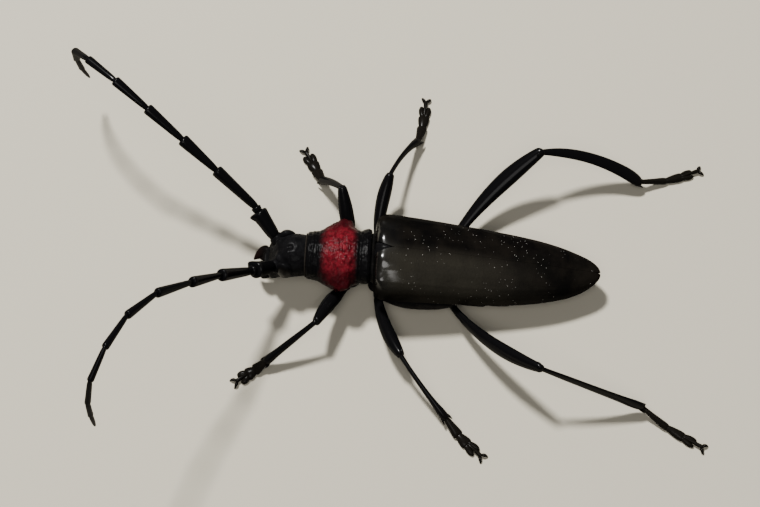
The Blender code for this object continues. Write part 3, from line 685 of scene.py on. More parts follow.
def cover_places():
    front = [-0.55, -0.52, -0.45, -0.33, -0.15, 0.1, 0.4, 0.75, 1.2]
    middle = spread(1.7, 16.0, 30)
    back = [ELYTRA_TIP_X - (ELYTRA_TIP_X - 16.0) * (1.0 - t) ** 2 for t in spread(0.0, 0.97, 24)]
    return front + middle + back[1:]


SUTURE_GAP = 0.008
SCUTELLUM_LAP = 0.03
CLEFT_LENGTH = 1.1
CLEFT_HALF_WIDTH = 0.08
OPENING_REACH = 1.3


def open_for_scutellum(cover):
    """Moves the cover's inner front corner aside for the triangular plate, and opens the tip a little."""
    for corner in cover.data.vertices:
        place = corner.co
        notch = max(0.0, 1.0 - (place.x - ELYTRA_FRONT_X) / SCUTELLUM_LENGTH)
        cleft = max(0.0, 1.0 - (ELYTRA_TIP_X - place.x) / CLEFT_LENGTH) ** 2
        near = math.exp(-(place.y / OPENING_REACH) ** 2)
        place.y += SUTURE_GAP + (SCUTELLUM_HALF_WIDTH - SCUTELLUM_LAP) * notch * near
        place.y += CLEFT_HALF_WIDTH * cleft * near


# Humps and hollows near the front edge
COVER_HUMPS = (
    ((0.55, 1.25, 7.4), (-0.06, 0.0, 0.15), 1.15),
    ((0.2, 3.2, 6.7), (-0.08, 0.05, 0.18), 1.05),
    ((2.6, 2.3, 7.2), (0.0, 0.0, -0.05), 1.3),
    ((0.6, 2.25, 7.2), (0.0, 0.0, -0.07), 0.7),
)


def front_weight(place):
    """The leathery surface is coarser over the front humps."""
    return min(1.0, max(0.25, (3.0 - place.x) / 2.5))


def make_wing_cover(side, material):
    """A thin shell drawn out of its front arc, with a bevelled rim, humps and a leathery surface."""
    cover = cover_arc("wing_cover_" + side)
    x, width, height, floor = 0.0, 1.0, 1.0, 0.0
    in_edit(cover)
    for number, next_x in enumerate(cover_places()):
        next_width, next_height = cover_half_width(next_x), cover_height(next_x)
        next_floor = margin_height(next_x)
        step = (next_x - x, 0.0, next_floor - floor)
        growth = (1.0, next_width / width, next_height / height)
        if number:
            bpy.ops.mesh.extrude_region_move(TRANSFORM_OT_translate={"value": step})
        else:
            bpy.ops.transform.translate(value=step)
        bpy.ops.transform.resize(value=growth, center_override=(next_x, 0.0, next_floor))
        x, width, height, floor = next_x, next_width, next_height, next_floor
    out_of_edit()
    open_for_scutellum(cover)
    if SIDES[side] < 0.0:
        edit(cover, bpy.ops.transform.resize, value=(1.0, -1.0, 1.0), center_override=ORIGIN)
    face_outwards(cover)
    middle = cover.data.polygons[len(cover.data.polygons) // 2]
    if middle.normal.z < 0.0:
        edit(cover, bpy.ops.mesh.flip_normals)
    add_modifier(cover, "SOLIDIFY", thickness=COVER_THICKNESS, offset=-1.0, use_even_offset=True)
    bevel_edges(cover, 0.03)
    raise_bumps(cover, COVER_HUMPS, side)
    refine(cover, 1)
    ripple(cover, "CLOUDS", 0.42, 0.035, front_weight)
    finish_piece(cover, material, "wing_cover", "elytron_" + side)


def make_scutellum(material):
    """The small triangular plate between the front ends of the wing covers."""
    stations = []
    for t in (0.0, 0.04, 0.12, 0.25, 0.4, 0.55, 0.7, 0.82, 0.9, 0.95):
        x = ELYTRA_FRONT_X + SCUTELLUM_LENGTH * t
        half_width = SCUTELLUM_HALF_WIDTH * (1.0 - t) ** 0.8 + 0.02
        middle = margin_height(x) + cover_height(x) - SCUTELLUM_HALF_HEIGHT
        stations.append((x, half_width, SCUTELLUM_HALF_HEIGHT, 0.0, middle))
    x, half_width, _, _, middle = stations[0]
    stations[0] = (x, half_width * 0.75, 0.15, 0.0, middle)  # rounds the front edge
    plate = draw_out("front_triangle", stations, 24)
    refine(plate, 2)
    finish_piece(plate, material, "black_shell", "scutellum")


# Trunk

CHEST_STATIONS = (  # place, belly height, half width
    (-0.3, 2.6, 2.9),
    (0.6, 2.1, 3.95),
    (3.0, 1.75, 4.5),
    (5.2, 1.55, 4.4),
    (6.6, 1.55, 4.15),
    (7.6, 1.6, 3.9),
)
NECK_RINGS = (  # place, half width, half height, height of the middle
    (-1.6, 2.15, 1.35, 4.62),
    (-1.3, 2.28, 1.45, 4.62),
    (-0.75, 2.42, 1.5, 4.6),
    (-0.5, 2.66, 1.5, 4.5),
)
UNDER_MARGIN = 0.05  # how far below the rim of the wing covers the trunk's back ends
SIDE_PLATE_PROFILE = (
    (0.0, 0.1, 0.18), (0.06, 0.2, 0.4), (0.35, 0.24, 0.5), (0.75, 0.21, 0.42), (0.97, 0.14, 0.26),
    (1.0, 0.05, 0.1),
)


def trunk_station(x, belly, half_width):
    top = margin_height(x) - UNDER_MARGIN
    return (x, half_width, (top - belly) / 2.0, 0.0, (top + belly) / 2.0)


def make_chest(material):
    """The chest with its narrow neck, a middle furrow below and a long plate on each side."""
    belly = [(x, z) for x, z, _ in CHEST_STATIONS]
    sides = [(x, w) for x, _, w in CHEST_STATIONS]
    stations = [(x, half_width, half_height, 0.0, up) for x, half_width, half_height, up in NECK_RINGS]
    for x in spread(-0.3, 7.6, 22):
        stations.append(trunk_station(x, smooth_value(x, belly), smooth_value(x, sides)))
    stations.append(trunk_station(7.68, 1.75, 3.72))
    chest = draw_out("chest", stations, 56, 2.7)
    for x in spread(1.4, 6.2, 9):
        pull(chest, (x, 0.0, 1.6), (0.0, 0.0, 0.1), 0.38)
    refine(chest, 1)
    pieces = [chest]
    for side in SIDES:
        start, end = mirrored((0.9, 3.78, 3.45), side), mirrored((7.2, 3.95, 2.85), side)
        bow = mirrored((0.0, 0.34, 0.0), side)
        pieces.append(limb("side_plate", start, end, SIDE_PLATE_PROFILE, bow=bow))
    finish_piece(join("chest", pieces), material, "dark_belly", "thorax")


ABDOMEN_BORDERS = (7.75, 10.6, 13.0, 15.2, 17.3, 19.75)
ABDOMEN_BELLY = ((7.7, 1.6), (11.0, 1.45), (15.0, 1.35), (18.0, 1.5), (19.75, 2.05))
ABDOMEN_HALF_WIDTHS = ((7.7, 3.75), (11.0, 3.6), (15.0, 3.0), (18.0, 2.25), (19.75, 1.15))
# How far each belly plate stands out, at shares of its length
RIM_STEPS = ((0.0, -0.1), (0.05, -0.09), (0.25, -0.01), (0.55, 0.02), (0.85, 0.05), (0.97, 0.04))


def make_abdomen(material):
    """Five belly plates, each with its hind rim standing a little proud of the next."""
    stations = []
    for first, last in zip(ABDOMEN_BORDERS, ABDOMEN_BORDERS[1:]):
        for share, swell in RIM_STEPS:
            x = first + (last - first) * share
            belly = smooth_value(x, ABDOMEN_BELLY) - swell
            stations.append(trunk_station(x, belly, smooth_value(x, ABDOMEN_HALF_WIDTHS) + swell))
    stations.append((19.74, 0.55, 0.35, 0.0, 2.4))
    abdomen = draw_out("belly_plates", stations, 56, 2.3)
    refine(abdomen, 1)
    finish_piece(abdomen, material, "dark_belly", "abdomen")


# Neck shield (pronotum)

SHIELD_STATIONS = (  # place, half width, top, bottom
    (-7.2, 2.22, 6.22, 2.68),
    (-7.1, 2.36, 6.36, 2.54),
    (-6.85, 2.36, 6.38, 2.5),
    (-6.6, 2.42, 6.45, 2.45),
    (-6.1, 2.5, 6.42, 2.4),
    (-5.4, 2.92, 6.6, 2.25),
    (-4.7, 3.12, 6.72, 2.15),
    (-3.9, 3.2, 6.8, 2.15),
    (-3.1, 3.12, 6.75, 2.2),
    (-2.5, 2.86, 6.68, 2.3),
    (-1.9, 2.66, 6.55, 2.6),
    (-1.4, 2.82, 6.7, 2.95),
    (-1.0, 2.76, 6.64, 3.2),
    (-0.85, 2.62, 6.5, 3.35),
)
RIDGES = (-6.88, -6.55, -6.22, -5.9, -2.15, -1.7, -1.2)
RIDGE_RISE = 0.045
RIDGE_HALF_LENGTH = 0.09
SHIELD_BUMPS = (
    ((-3.85, 3.2, 4.9), (0.0, 0.52, 0.05), 2.0, "SMOOTH"),
    ((-3.75, 3.7, 4.9), (0.06, 0.3, 0.04), 0.85, "SHARP"),
    ((-3.15, 3.3, 5.1), (0.1, 0.26, 0.06), 0.75, "SMOOTH"),
    ((-4.75, 1.1, 6.6), (0.0, 0.02, 0.12), 0.85, "SMOOTH"),
    ((-3.25, 1.35, 6.6), (0.0, 0.02, 0.15), 0.85, "SMOOTH"),
    ((-3.0, 2.3, 6.0), (0.0, 0.08, 0.12), 0.65, "SMOOTH"),
    ((-4.2, 2.05, 6.2), (0.0, 0.04, -0.1), 0.6, "SMOOTH"),
)


def ridge_rise(x):
    return sum(RIDGE_RISE * math.exp(-((x - ridge) / RIDGE_HALF_LENGTH) ** 2) for ridge in RIDGES)


def ripple(piece, kind, size, depth, weight=None, sharp=False):
    """Raises folds of a procedural texture out of the surface, as strong at each point as weight says."""
    texture = bpy.data.textures.new(piece.name + "_folds", kind)
    texture.noise_scale = size
    if kind == "CLOUDS":
        texture.noise_depth = 2
        texture.noise_type = "HARD_NOISE" if sharp else "SOFT_NOISE"
    settings = dict(texture=texture, texture_coords="LOCAL", strength=depth, mid_level=0.5)
    if weight:
        group = piece.vertex_groups.new(name="folds")
        for corner in piece.data.vertices:
            group.add([corner.index], weight(corner.co), "REPLACE")
        settings["vertex_group"] = group.name
    add_modifier(piece, "DISPLACE", **settings)
    piece.vertex_groups.clear()
    bpy.data.textures.remove(texture)


def red_weight(place):
    """The folds fade out towards the black bands and the underside."""
    front = min(1.0, max(0.0, (place.x + 6.0) / 0.9))
    back = min(1.0, max(0.0, (-2.1 - place.x) / 0.7))
    below = min(1.0, max(0.15, (place.z - 2.6) / 1.2))
    return front * back * below


def make_neck_shield(material):
    """The barrel with its ridges, side spines, bumps and, where it is red, worm-like folds."""
    places = [-7.2, -7.17] + spread(-7.1, -0.95, 84) + [-0.88, -0.85]
    shield = draw_out("neck_shield", body_stations(places, SHIELD_STATIONS, ridge_rise), 80, 2.15)
    for bump in SHIELD_BUMPS:
        for side in SIDES:
            raise_bumps(shield, [bump], side)
    refine(shield, 1)
    ripple(shield, "VORONOI", 0.34, 0.075, red_weight)
    ripple(shield, "CLOUDS", 0.26, 0.1, red_weight, sharp=True)
    finish_piece(shield, material, "red_shell", "pronotum")


# Head

HEAD_STATIONS = (  # place, half width, top, bottom
    (-11.15, 0.95, 3.3, 2.35),
    (-11.05, 1.45, 3.75, 2.1),
    (-11.0, 1.58, 3.92, 2.06),
    (-10.7, 1.84, 4.55, 1.95),
    (-10.3, 1.94, 5.15, 1.9),
    (-9.8, 2.02, 5.8, 2.0),
    (-9.1, 2.14, 6.18, 2.2),
    (-8.3, 2.14, 6.3, 2.4),
    (-7.5, 2.08, 6.15, 2.65),
    (-6.9, 1.95, 5.95, 2.85),
)
EYE_CENTRE = (-9.3, 1.75, 4.55)
EYE_RADII = (0.85, 0.66, 1.25)
EYE_RIM_RADII = (EYE_RADII[0] + 0.11, EYE_RADII[1] - 0.13, EYE_RADII[2] + 0.11)
EYE_TURN = math.radians(14.0)
EYE_NOTCH_RADIUS = 0.82
FEELER_ROOT = (-10.45, 1.62, 4.95)
HEAD_BUMPS = (
    ((-10.15, 0.9, 5.3), (-0.08, 0.02, 0.34), 0.75),  # hump beside the furrow
    ((-10.45, 1.5, 3.0), (-0.05, 0.14, 0.0), 0.9),  # cheek
    ((-10.85, 1.2, 3.9), (-0.06, 0.05, 0.06), 0.5),  # corner of the mouth plate
    ((-8.9, 0.9, 6.3), (0.0, 0.0, 0.05), 0.9),
    ((-9.45, 1.35, 5.9), (0.0, 0.0, -0.1), 0.5),  # hollow behind the hump
    ((-7.7, 0.95, 6.2), (0.0, 0.0, 0.05), 0.6),
)
FURROW_DEPTH = 0.13
SOCKET_RADII = (  # share of the length and radius; the last row turns back into the cup
    (0.0, 0.3), (0.08, 0.52), (0.35, 0.72), (0.62, 0.76), (0.82, 0.7), (0.93, 0.66), (0.98, 0.58),
    (1.0, 0.44), (0.96, 0.36),
)
# Plates above the mouth: place, half width, half height, height of the middle
CLYPEUS_STATIONS = (
    (-10.55, 1.02, 0.2, 3.92), (-10.9, 1.1, 0.26, 3.66), (-11.15, 1.06, 0.26, 3.5),
    (-11.28, 0.94, 0.22, 3.42), (-11.3, 0.8, 0.14, 3.4),
)
LIP_STATIONS = (
    (-11.15, 0.62, 0.14, 3.34), (-11.35, 0.7, 0.18, 3.32), (-11.52, 0.66, 0.18, 3.28),
    (-11.63, 0.5, 0.13, 3.24), (-11.65, 0.34, 0.07, 3.22),
)
# Each palp: root on the right side, reach of its lengths, and its radius
PALPS = (
    ((-10.4, 0.8, 2.2), ((-0.45, 0.3, -0.25), (-0.38, 0.14, -0.4), (-0.55, -0.25, -0.62)), 0.25),
    ((-10.1, 0.4, 2.2), ((-0.3, 0.06, -0.4), (-0.3, 0.0, -0.28), (-0.3, -0.06, -0.34)), 0.2),
)
PALP_PROFILE = ((0.0, 0.7), (0.14, 0.8), (0.5, 0.88), (0.8, 1.0), (0.94, 0.88), (1.0, 0.5))


def make_head(material):
    """The head capsule with its middle furrow, the humps beside it, eye rims and feeler sockets."""
    places = [-11.15, -11.1, -11.05] + spread(-11.0, -6.9, 46)
    head = draw_out("head_capsule", body_stations(places, HEAD_STATIONS), 56, 2.15)
    for side in SIDES:
        raise_bumps(head, HEAD_BUMPS, side)
    for x in spread(-10.75, -8.5, 12):
        pull(head, (x, 0.0, 6.0), (0.0, 0.0, -FURROW_DEPTH), 0.36, "SHARP")
    refine(head, 1)
    ripple(head, "CLOUDS", 0.34, 0.07, head_weight, sharp=True)
    pieces = [head, mouth_plate(CLYPEUS_STATIONS)]
    for side in SIDES:
        rim = eye_ball("eye_rim", side, EYE_RIM_RADII, EYE_CENTRE)
        root = mirrored(FEELER_ROOT, side)
        start = root + mirrored((0.75, -0.6, -0.55), side)
        end = root + feeler_directions(side)[0] * 0.1
        socket = limb("feeler_socket", start, end, round_profile(SOCKET_RADII), 24)
        pieces += [rim, socket]
    finish_piece(join("head_capsule", pieces), material, "black_shell", "head")


def head_weight(place):
    """The head is wrinkled above and in front of the neck."""
    return min(1.0, max(0.0, (place.z - 3.6) / 1.0)) * min(1.0, max(0.0, (-7.2 - place.x) / 0.5))


def mouth_plate(rows):
    stations = [(x, half_width, half_height, 0.0, up) for x, half_width, half_height, up in rows]
    plate = draw_out("mouth", stations, 28, 2.6)
    refine(plate, 1)
    return plate


def make_mouth(material):
    """The upper lip and two pairs of palps."""
    pieces = [mouth_plate(LIP_STATIONS)]
    for side in SIDES:
        for root, reaches, radius in PALPS:
            start = mirrored(root, side)
            for number, reach in enumerate(reaches):
                end = start + mirrored(reach, side)
                profile = round_profile(PALP_PROFILE, radius * (0.85 + 0.1 * number))
                pieces.append(limb("mouth", start - (end - start) * 0.16, end, profile, 14))
                start = end
    finish_piece(join("mouth_parts", pieces), material, "black_shell")


COLLAR_ROWS = ((-7.36, 2.02, 1.68), (-7.33, 2.17, 1.81), (-7.28, 2.22, 1.86), (-7.22, 2.22, 1.86),
               (-7.12, 2.05, 1.75))
COLLAR_MIDDLE_HEIGHT = 4.43


def make_collar(material):
    """The ring of skin that shows as a thin line where the head enters the neck shield."""
    stations = [(*row, 0.0, COLLAR_MIDDLE_HEIGHT) for row in COLLAR_ROWS]
    collar = draw_out("collar", stations, 48, 2.15)
    refine(collar, 1)
    finish_piece(collar, material, "black_shell")


def eye_ball(name, side, sizes, centre):
    sphere = bpy.ops.mesh.primitive_uv_sphere_add
    ball = add_shape(name, sphere, segments=48, ring_count=32, radius=1.0, location=mirrored(centre, side))
    ball.scale = sizes
    ball.rotation_euler = (0.0, 0.0, EYE_TURN * SIDES[side])
    settle(ball)
    return ball


def make_eye(side, material):
    """A kidney-shaped eye that bends round the root of the feeler."""
    eye = eye_ball("compound_eye_" + side, side, EYE_RADII, EYE_CENTRE)
    carve(eye, eye_ball("eye_notch", side, (EYE_NOTCH_RADIUS,) * 3, FEELER_ROOT))
    bevel_edges(eye, 0.05)
    finish_piece(eye, material, "eye", "eye_" + side)


JAW_PROFILE = (
    (0.0, 0.56, 0.46), (0.06, 0.69, 0.56), (0.2, 0.72, 0.56), (0.38, 0.66, 0.48), (0.56, 0.54, 0.39),
    (0.72, 0.4, 0.3), (0.86, 0.25, 0.21), (0.95, 0.13, 0.12), (1.0, 0.05, 0.05),
)
JAW_TOOTH_PROFILE = ((0.0, 0.36, 0.26), (0.4, 0.3, 0.21), (0.8, 0.17, 0.13), (1.0, 0.06, 0.05))
JAW_RIDGE_PROFILE = ((0.0, 0.06, 0.06), (0.2, 0.13, 0.11), (0.7, 0.11, 0.09), (1.0, 0.04, 0.04))


def make_jaw(side, material):
    """A stout jaw that curves inwards to a pointed tip, with a ridge outside and a blunt tooth inside."""
    start = mirrored((-10.9, 0.92, 2.84), side)
    reach = mirrored((-1.71, -0.74, -0.48), side)
    jaw_bow, ridge_bow = mirrored((-0.1, 0.24, 0.06), side), mirrored((-0.05, 0.2, 0.05), side)
    jaw = limb("jaw_" + side, start, start + reach, JAW_PROFILE, 24, jaw_bow, 2.4)
    root = start + reach * 0.42 + mirrored((0.0, -0.2, 0.0), side)
    end = root + mirrored((-0.3, -0.34, 0.02), side)
    tooth = limb("jaw_tooth", root, end, JAW_TOOTH_PROFILE, 16)
    root = start + mirrored((-0.1, 0.36, 0.22), side)
    end = start + reach * 0.62 + mirrored((0.0, 0.26, 0.16), side)
    ridge = limb("jaw_ridge", root, end, JAW_RIDGE_PROFILE, 14, ridge_bow)
    finish_piece(join("jaw_" + side, [jaw, tooth, ridge]), material, "black_shell", "mandible_" + side)


# Feelers

FEELER_LENGTHS = (3.0, 0.55, 5.3, 4.45, 4.5, 4.05, 3.8, 3.2, 3.1, 2.6, 2.75)
FEELER_BASE_RADII = (0.62, 0.46, 0.43, 0.32, 0.3, 0.28, 0.27, 0.26, 0.25, 0.24, 0.22)
FEELER_END_RADII = (0.85, 0.52, 0.62, 0.53, 0.48, 0.43, 0.38, 0.34, 0.3, 0.27, 0.14)
# The feelers are a little flat: their widths and heights beside those radii, from the fourth segment out
FEELER_FLATNESS = {"right": (1.2, 0.92), "left": (0.92, 1.1)}
FIRST_FLAT_SEGMENT = 3
FEELER_NODES = {
    "base": (0,), "lower": (1, 2), "middle": (3, 4), "upper": (5, 6), "outer": (7, 8), "tip": (9, 10),
}
# Each row: segment number, heading in the floor plane from +X, climb, both in degrees
FEELER_COURSES = {
    "right": ((0, 131, 28), (1, 128, 29), (2, 147, 29), (5, 148, 25), (7, 134, -34),
              (8, 113, -75), (9, 83, -81), (10, 65, -77)),
    "left": ((0, 223, 47), (1, 220, 39), (2, 226, 52), (4, 223, 39), (6, 248, 14),
             (8, 243, -68), (9, 245, -84), (10, 255, -88)),
}


def straight_value(at, stations):
    for (before, low), (after, high) in zip(stations, stations[1:]):
        if at <= after:
            return low + (high - low) * (at - before) / (after - before)
    return stations[-1][1]


def feeler_directions(side):
    course = FEELER_COURSES[side]
    directions = []
    for number in range(len(FEELER_LENGTHS)):
        heading = math.radians(straight_value(number, [(row[0], row[1]) for row in course]))
        climb = math.radians(straight_value(number, [(row[0], row[2]) for row in course]))
        directions.append(Vector((
            math.cos(heading) * math.cos(climb),
            math.sin(heading) * math.cos(climb),
            math.sin(climb),
        )))
    return directions


FEELER_SUNK = 0.22  # how deep the neck of a segment sits in the one before


def feeler_segment(name, side, start, direction, number):
    """One segment: a narrow neck that sits in the one before, and a far end that widens to a rim."""
    length = FEELER_LENGTHS[number]
    base, end = FEELER_BASE_RADII[number], FEELER_END_RADII[number]
    if number == len(FEELER_LENGTHS) - 1:
        radii = [
            (-FEELER_SUNK, base * 0.7), (0.0, base * 0.88), (0.12 * length, base),
            (0.5 * length, base * 0.92), (0.78 * length, base * 0.72), (0.93 * length, end * 0.8),
            (length, end * 0.3),
        ]
    else:
        radii = [
            (-FEELER_SUNK, base * 0.62), (-FEELER_SUNK * 0.4, base * 0.72), (0.02 * length, base * 0.86),
            (0.1 * length, base * 1.02), (0.45 * length, base * 0.58 + end * 0.42),
            (0.8 * length, end * 0.95), (length - 0.22, end * 1.01), (length - 0.13, end * 0.97),
            (length - 0.06, end * 0.86), (length - 0.01, end * 0.66), (length, end * 0.4),
        ]
    first, last = radii[0][0], length
    wide, high = FEELER_FLATNESS[side] if number >= FIRST_FLAT_SEGMENT else (1.0, 1.0)
    profile = [((along - first) / (last - first), radius * wide, radius * high) for along, radius in radii]
    return limb(name, start + direction * first, start + direction * last, profile)


def make_feeler(side, material):
    directions = feeler_directions(side)
    joints = [mirrored(FEELER_ROOT, side)]
    for direction, length in zip(directions, FEELER_LENGTHS):
        joints.append(joints[-1] + direction * length)
    for part, numbers in FEELER_NODES.items():
        name = "feeler_" + side + "_" + part
        pieces = [feeler_segment(name, side, joints[k], directions[k], k) for k in numbers]
        if part == "base":  # the first segment ends in a blunt outer corner
            outward = UP.cross(directions[0]).normalized() * SIDES[side]
            corner = joints[1] - directions[0] * 0.18 + outward * FEELER_END_RADII[0]
            pull(pieces[0], corner, outward * 0.24 + directions[0] * 0.06, 0.66)
        finish_piece(join(name, pieces), material, "black_limb", "antenna_" + side + "_" + part)


# Legs

# Each leg: hip, knee, ankle and claw tip, and how far its thigh and its shin bow
LEGS = {
    "front_right": (
        (-2.7, 1.35, 2.3), (-4.1, 6.8, 5.9), (-6.5, 10.0, 0.95), (-8.7, 13.9, 0.0),
        (-0.03, 0.1, -0.1), (0.0, 0.1, 0.2),
    ),
    "front_left": (
        (-2.7, -1.35, 2.3), (-5.8, -6.9, 4.4), (-10.7, -10.1, 1.1), (-13.7, -12.2, 0.0),
        (-0.1, 0.3, -0.1), (0.0, -0.05, 0.1),
    ),
    "middle_right": (
        (-0.4, 1.6, 2.0), (0.5, 9.2, 4.4), (3.2, 15.1, 0.95), (3.8, 20.6, 0.0),
        (-0.36, 0.0, -0.35), (-0.12, 0.33, 0.1),
    ),
    "middle_left": (
        (-0.4, -1.6, 2.0), (2.4, -9.5, 3.5), (7.2, -15.0, 1.0), (11.0, -18.6, 0.0),
        (-0.45, 0.05, -0.35), (-0.1, -0.1, 0.1),
    ),
    "hind_right": (
        (6.0, 1.9, 1.9), (15.4, 11.7, 6.2), (26.2, 11.4, 1.15), (32.8, 13.7, 0.0),
        (-0.57, 0.63, -0.5), (0.1, 0.85, 0.3),
    ),
    "hind_left": (
        (6.0, -1.9, 1.9), (15.6, -11.5, 6.9), (26.1, -12.9, 1.2), (32.4, -16.6, 0.0),
        (-0.62, -0.52, -0.5), (0.0, -0.1, 0.2),
    ),
}
# These legs are turned about their length, so that the broad sides of thigh and shin face upwards
BROAD_SIDE_UP = ("hind_right", "front_right")
HIP_RADII = {"front": (0.85, 0.9, 1.0), "middle": (0.75, 0.9, 0.85), "hind": (0.9, 1.45, 0.75)}
THIGH_DROP = 0.35
THIGH_FLATNESS = {"front": 0.96, "middle": 0.92, "hind": 0.71}
# Half depth along the thigh, half width and half depth along the shin, from the body end to the far end
THIGH_HALF_DEPTHS = {
    "front": ((0.0, 0.42), (0.16, 0.46), (0.45, 0.74), (0.6, 0.74), (0.8, 0.64), (1.0, 0.46)),
    "middle": ((0.0, 0.42), (0.2, 0.5), (0.45, 0.66), (0.75, 0.76), (0.88, 0.68), (1.0, 0.5)),
    "hind": ((0.0, 0.42), (0.2, 0.5), (0.35, 0.63), (0.55, 0.82), (0.72, 0.9), (0.88, 0.78), (1.0, 0.58)),
}
SHIN_HALF_WIDTHS = {
    "front": ((0.0, 0.25), (0.15, 0.26), (0.5, 0.33), (0.8, 0.38), (0.95, 0.47), (1.0, 0.42)),
    "middle": ((0.0, 0.24), (0.15, 0.22), (0.5, 0.25), (0.75, 0.31), (0.92, 0.43), (1.0, 0.39)),
    "hind": ((0.0, 0.22), (0.12, 0.18), (0.5, 0.19), (0.8, 0.22), (0.93, 0.34), (1.0, 0.33)),
}
SHIN_HALF_DEPTHS = {
    "front": ((0.0, 0.3), (0.3, 0.36), (0.6, 0.42), (0.95, 0.48), (1.0, 0.44)),
    "middle": ((0.0, 0.3), (0.6, 0.35), (0.95, 0.42), (1.0, 0.38)),
    "hind": ((0.0, 0.27), (0.1, 0.42), (0.25, 0.55), (0.5, 0.64), (0.75, 0.74), (0.9, 0.8), (1.0, 0.6)),
}
# The groove that parts the small first piece of the leg from its thigh, in shares of length and depth
THIGH_RING_SHARE = 0.1
THIGH_RING_WIDTH = 0.014
THIGH_RING_DEPTH = 0.16
KNEE_LOBE_PROFILE = ((0.0, 0.14, 0.28), (0.3, 0.16, 0.32), (0.7, 0.14, 0.27), (0.92, 0.1, 0.18),
                     (1.0, 0.05, 0.08))
SPUR_PROFILE = ((0.0, 0.15, 0.15), (0.3, 0.14, 0.14), (0.7, 0.09, 0.09), (1.0, 0.03, 0.03))
SPUR_LENGTH = 0.78
# Half widths of the first segment, of the second and third, and of the necks
FOOT_HALF_WIDTHS = {"front": (0.62, 0.69, 0.34), "middle": (0.54, 0.61, 0.28), "hind": (0.38, 0.5, 0.25)}
# How far the middle of each foot bends aside from the line between ankle and claws
FOOT_BENDS = {"front_right": 0.12, "front_left": 0.06, "middle_right": 0.14, "middle_left": 0.18,
              "hind_right": 0.22, "hind_left": 0.2}
# Shares of the foot's length at which its second, third and claw segments begin
FOOT_JOINTS = {"front": (0.34, 0.58, 0.8), "middle": (0.36, 0.6, 0.8), "hind": (0.41, 0.66, 0.81)}
SOLE_DEPTH = 0.09
# Each row: share of the segment's length, half width as a share of its widest, half height
FIRST_ROWS = ((0.14, 0.58, 0.28), (0.38, 0.7, 0.32), (0.62, 0.84, 0.35), (0.82, 0.98, 0.36),
              (0.92, 1.0, 0.34), (0.98, 0.86, 0.27), (1.0, 0.5, 0.15))
SECOND_ROWS = ((0.0, 0.4, 0.2), (0.1, 0.55, 0.27), (0.35, 0.78, 0.34), (0.65, 0.95, 0.36),
               (0.85, 1.0, 0.35), (0.96, 0.88, 0.28), (1.0, 0.52, 0.16))
LOBE_ROWS = ((0.0, 0.28, 0.2), (0.12, 0.42, 0.26), (0.35, 0.5, 0.31), (0.62, 0.52, 0.31),
             (0.84, 0.42, 0.27), (0.95, 0.28, 0.2), (1.0, 0.14, 0.1))
# Of the stem that carries the claws, rows with half widths in millimetres
STEM_ROWS = ((0.0, 0.12, 0.14), (0.15, 0.15, 0.18), (0.5, 0.16, 0.2), (0.8, 0.21, 0.23),
             (0.93, 0.22, 0.23), (1.0, 0.14, 0.15))
LOBE_ASIDE = (0.22, 0.66)  # where each lobe starts and ends, as shares of the second segment's half width
# Claws: the share of the foot at which they start, and the path and radii of each
CLAW_SHARE = 0.92
CLAW_ASIDE = (0.08, 0.26, 0.38, 0.45, 0.5)
CLAW_AHEAD = (-0.05, 0.12, 0.27, 0.4, 0.52)
CLAW_HEIGHTS = (0.42, 0.46, 0.4, 0.26, 0.06)
CLAW_RADII = (0.17, 0.18, 0.14, 0.09, 0.03)


def leg_places(leg):
    return (Vector(place) for place in LEGS[leg])


def make_hip(leg, material):
    hip = Vector(LEGS[leg][0])
    length, width, height = HIP_RADII[leg.split("_")[0]]
    stations = []
    for angle in spread(0.08, math.pi - 0.08, 15):
        c, s = math.cos(angle), math.sin(angle)
        stations.append((hip.x - length * c, width * s, height * s, hip.y, hip.z))
    piece = draw_out("hip_" + leg, stations, 24)
    refine(piece, 1)
    finish_piece(piece, material, "black_shell", "leg_" + leg + "_coxa")


def leg_rows(leg, shares, widths, depths):
    """Profile rows of a thigh or shin, the other way round where the leg's broad side faces up."""
    if leg in BROAD_SIDE_UP:
        widths, depths = depths, widths
    return list(zip(shares, widths, depths))


def make_thigh(leg, material):
    """A thigh with the groove of its first small piece, and two lobes that hold the knee."""
    hip, knee, ankle, _, bow, _ = leg_places(leg)
    kind = leg.split("_")[0]
    outward = (Vector((knee.x, knee.y, hip.z)) - hip).normalized() - UP * THIGH_DROP
    reach = 1.0 / math.sqrt(sum((outward[k] / HIP_RADII[kind][k]) ** 2 for k in range(3)))
    start = hip + outward * (reach * 0.8)
    shares = sorted(spread(0.0, 1.0, 19) + [THIGH_RING_SHARE + step for step in (-0.018, 0.0, 0.018)])
    depths = [
        smooth_value(share, THIGH_HALF_DEPTHS[kind])
        * (1.0 - THIGH_RING_DEPTH * math.exp(-((share - THIGH_RING_SHARE) / THIGH_RING_WIDTH) ** 2))
        for share in shares
    ]
    widths = [depth * THIGH_FLATNESS[kind] for depth in depths]
    shares += [1.018, 1.03]  # two rows that round off the knee end
    rows = leg_rows(leg, shares, widths + [widths[-1] * 0.86, 0.18], depths + [depths[-1] * 0.86, 0.2])
    thigh = limb("thigh_" + leg, start, knee, rows, 24, bow)
    along = (knee - start).normalized()
    hinge = along.cross(ankle - knee).normalized()
    pieces = [thigh]
    for sign in SIDES.values():
        root = knee - along * 0.55 + hinge * (sign * 0.2)
        end = root + along * 0.86
        pieces.append(limb("knee_lobe", root, end, KNEE_LOBE_PROFILE, 16, hinge * (sign * 0.1)))
    finish_piece(join("thigh_" + leg, pieces), material, "black_limb", "leg_" + leg + "_femur")


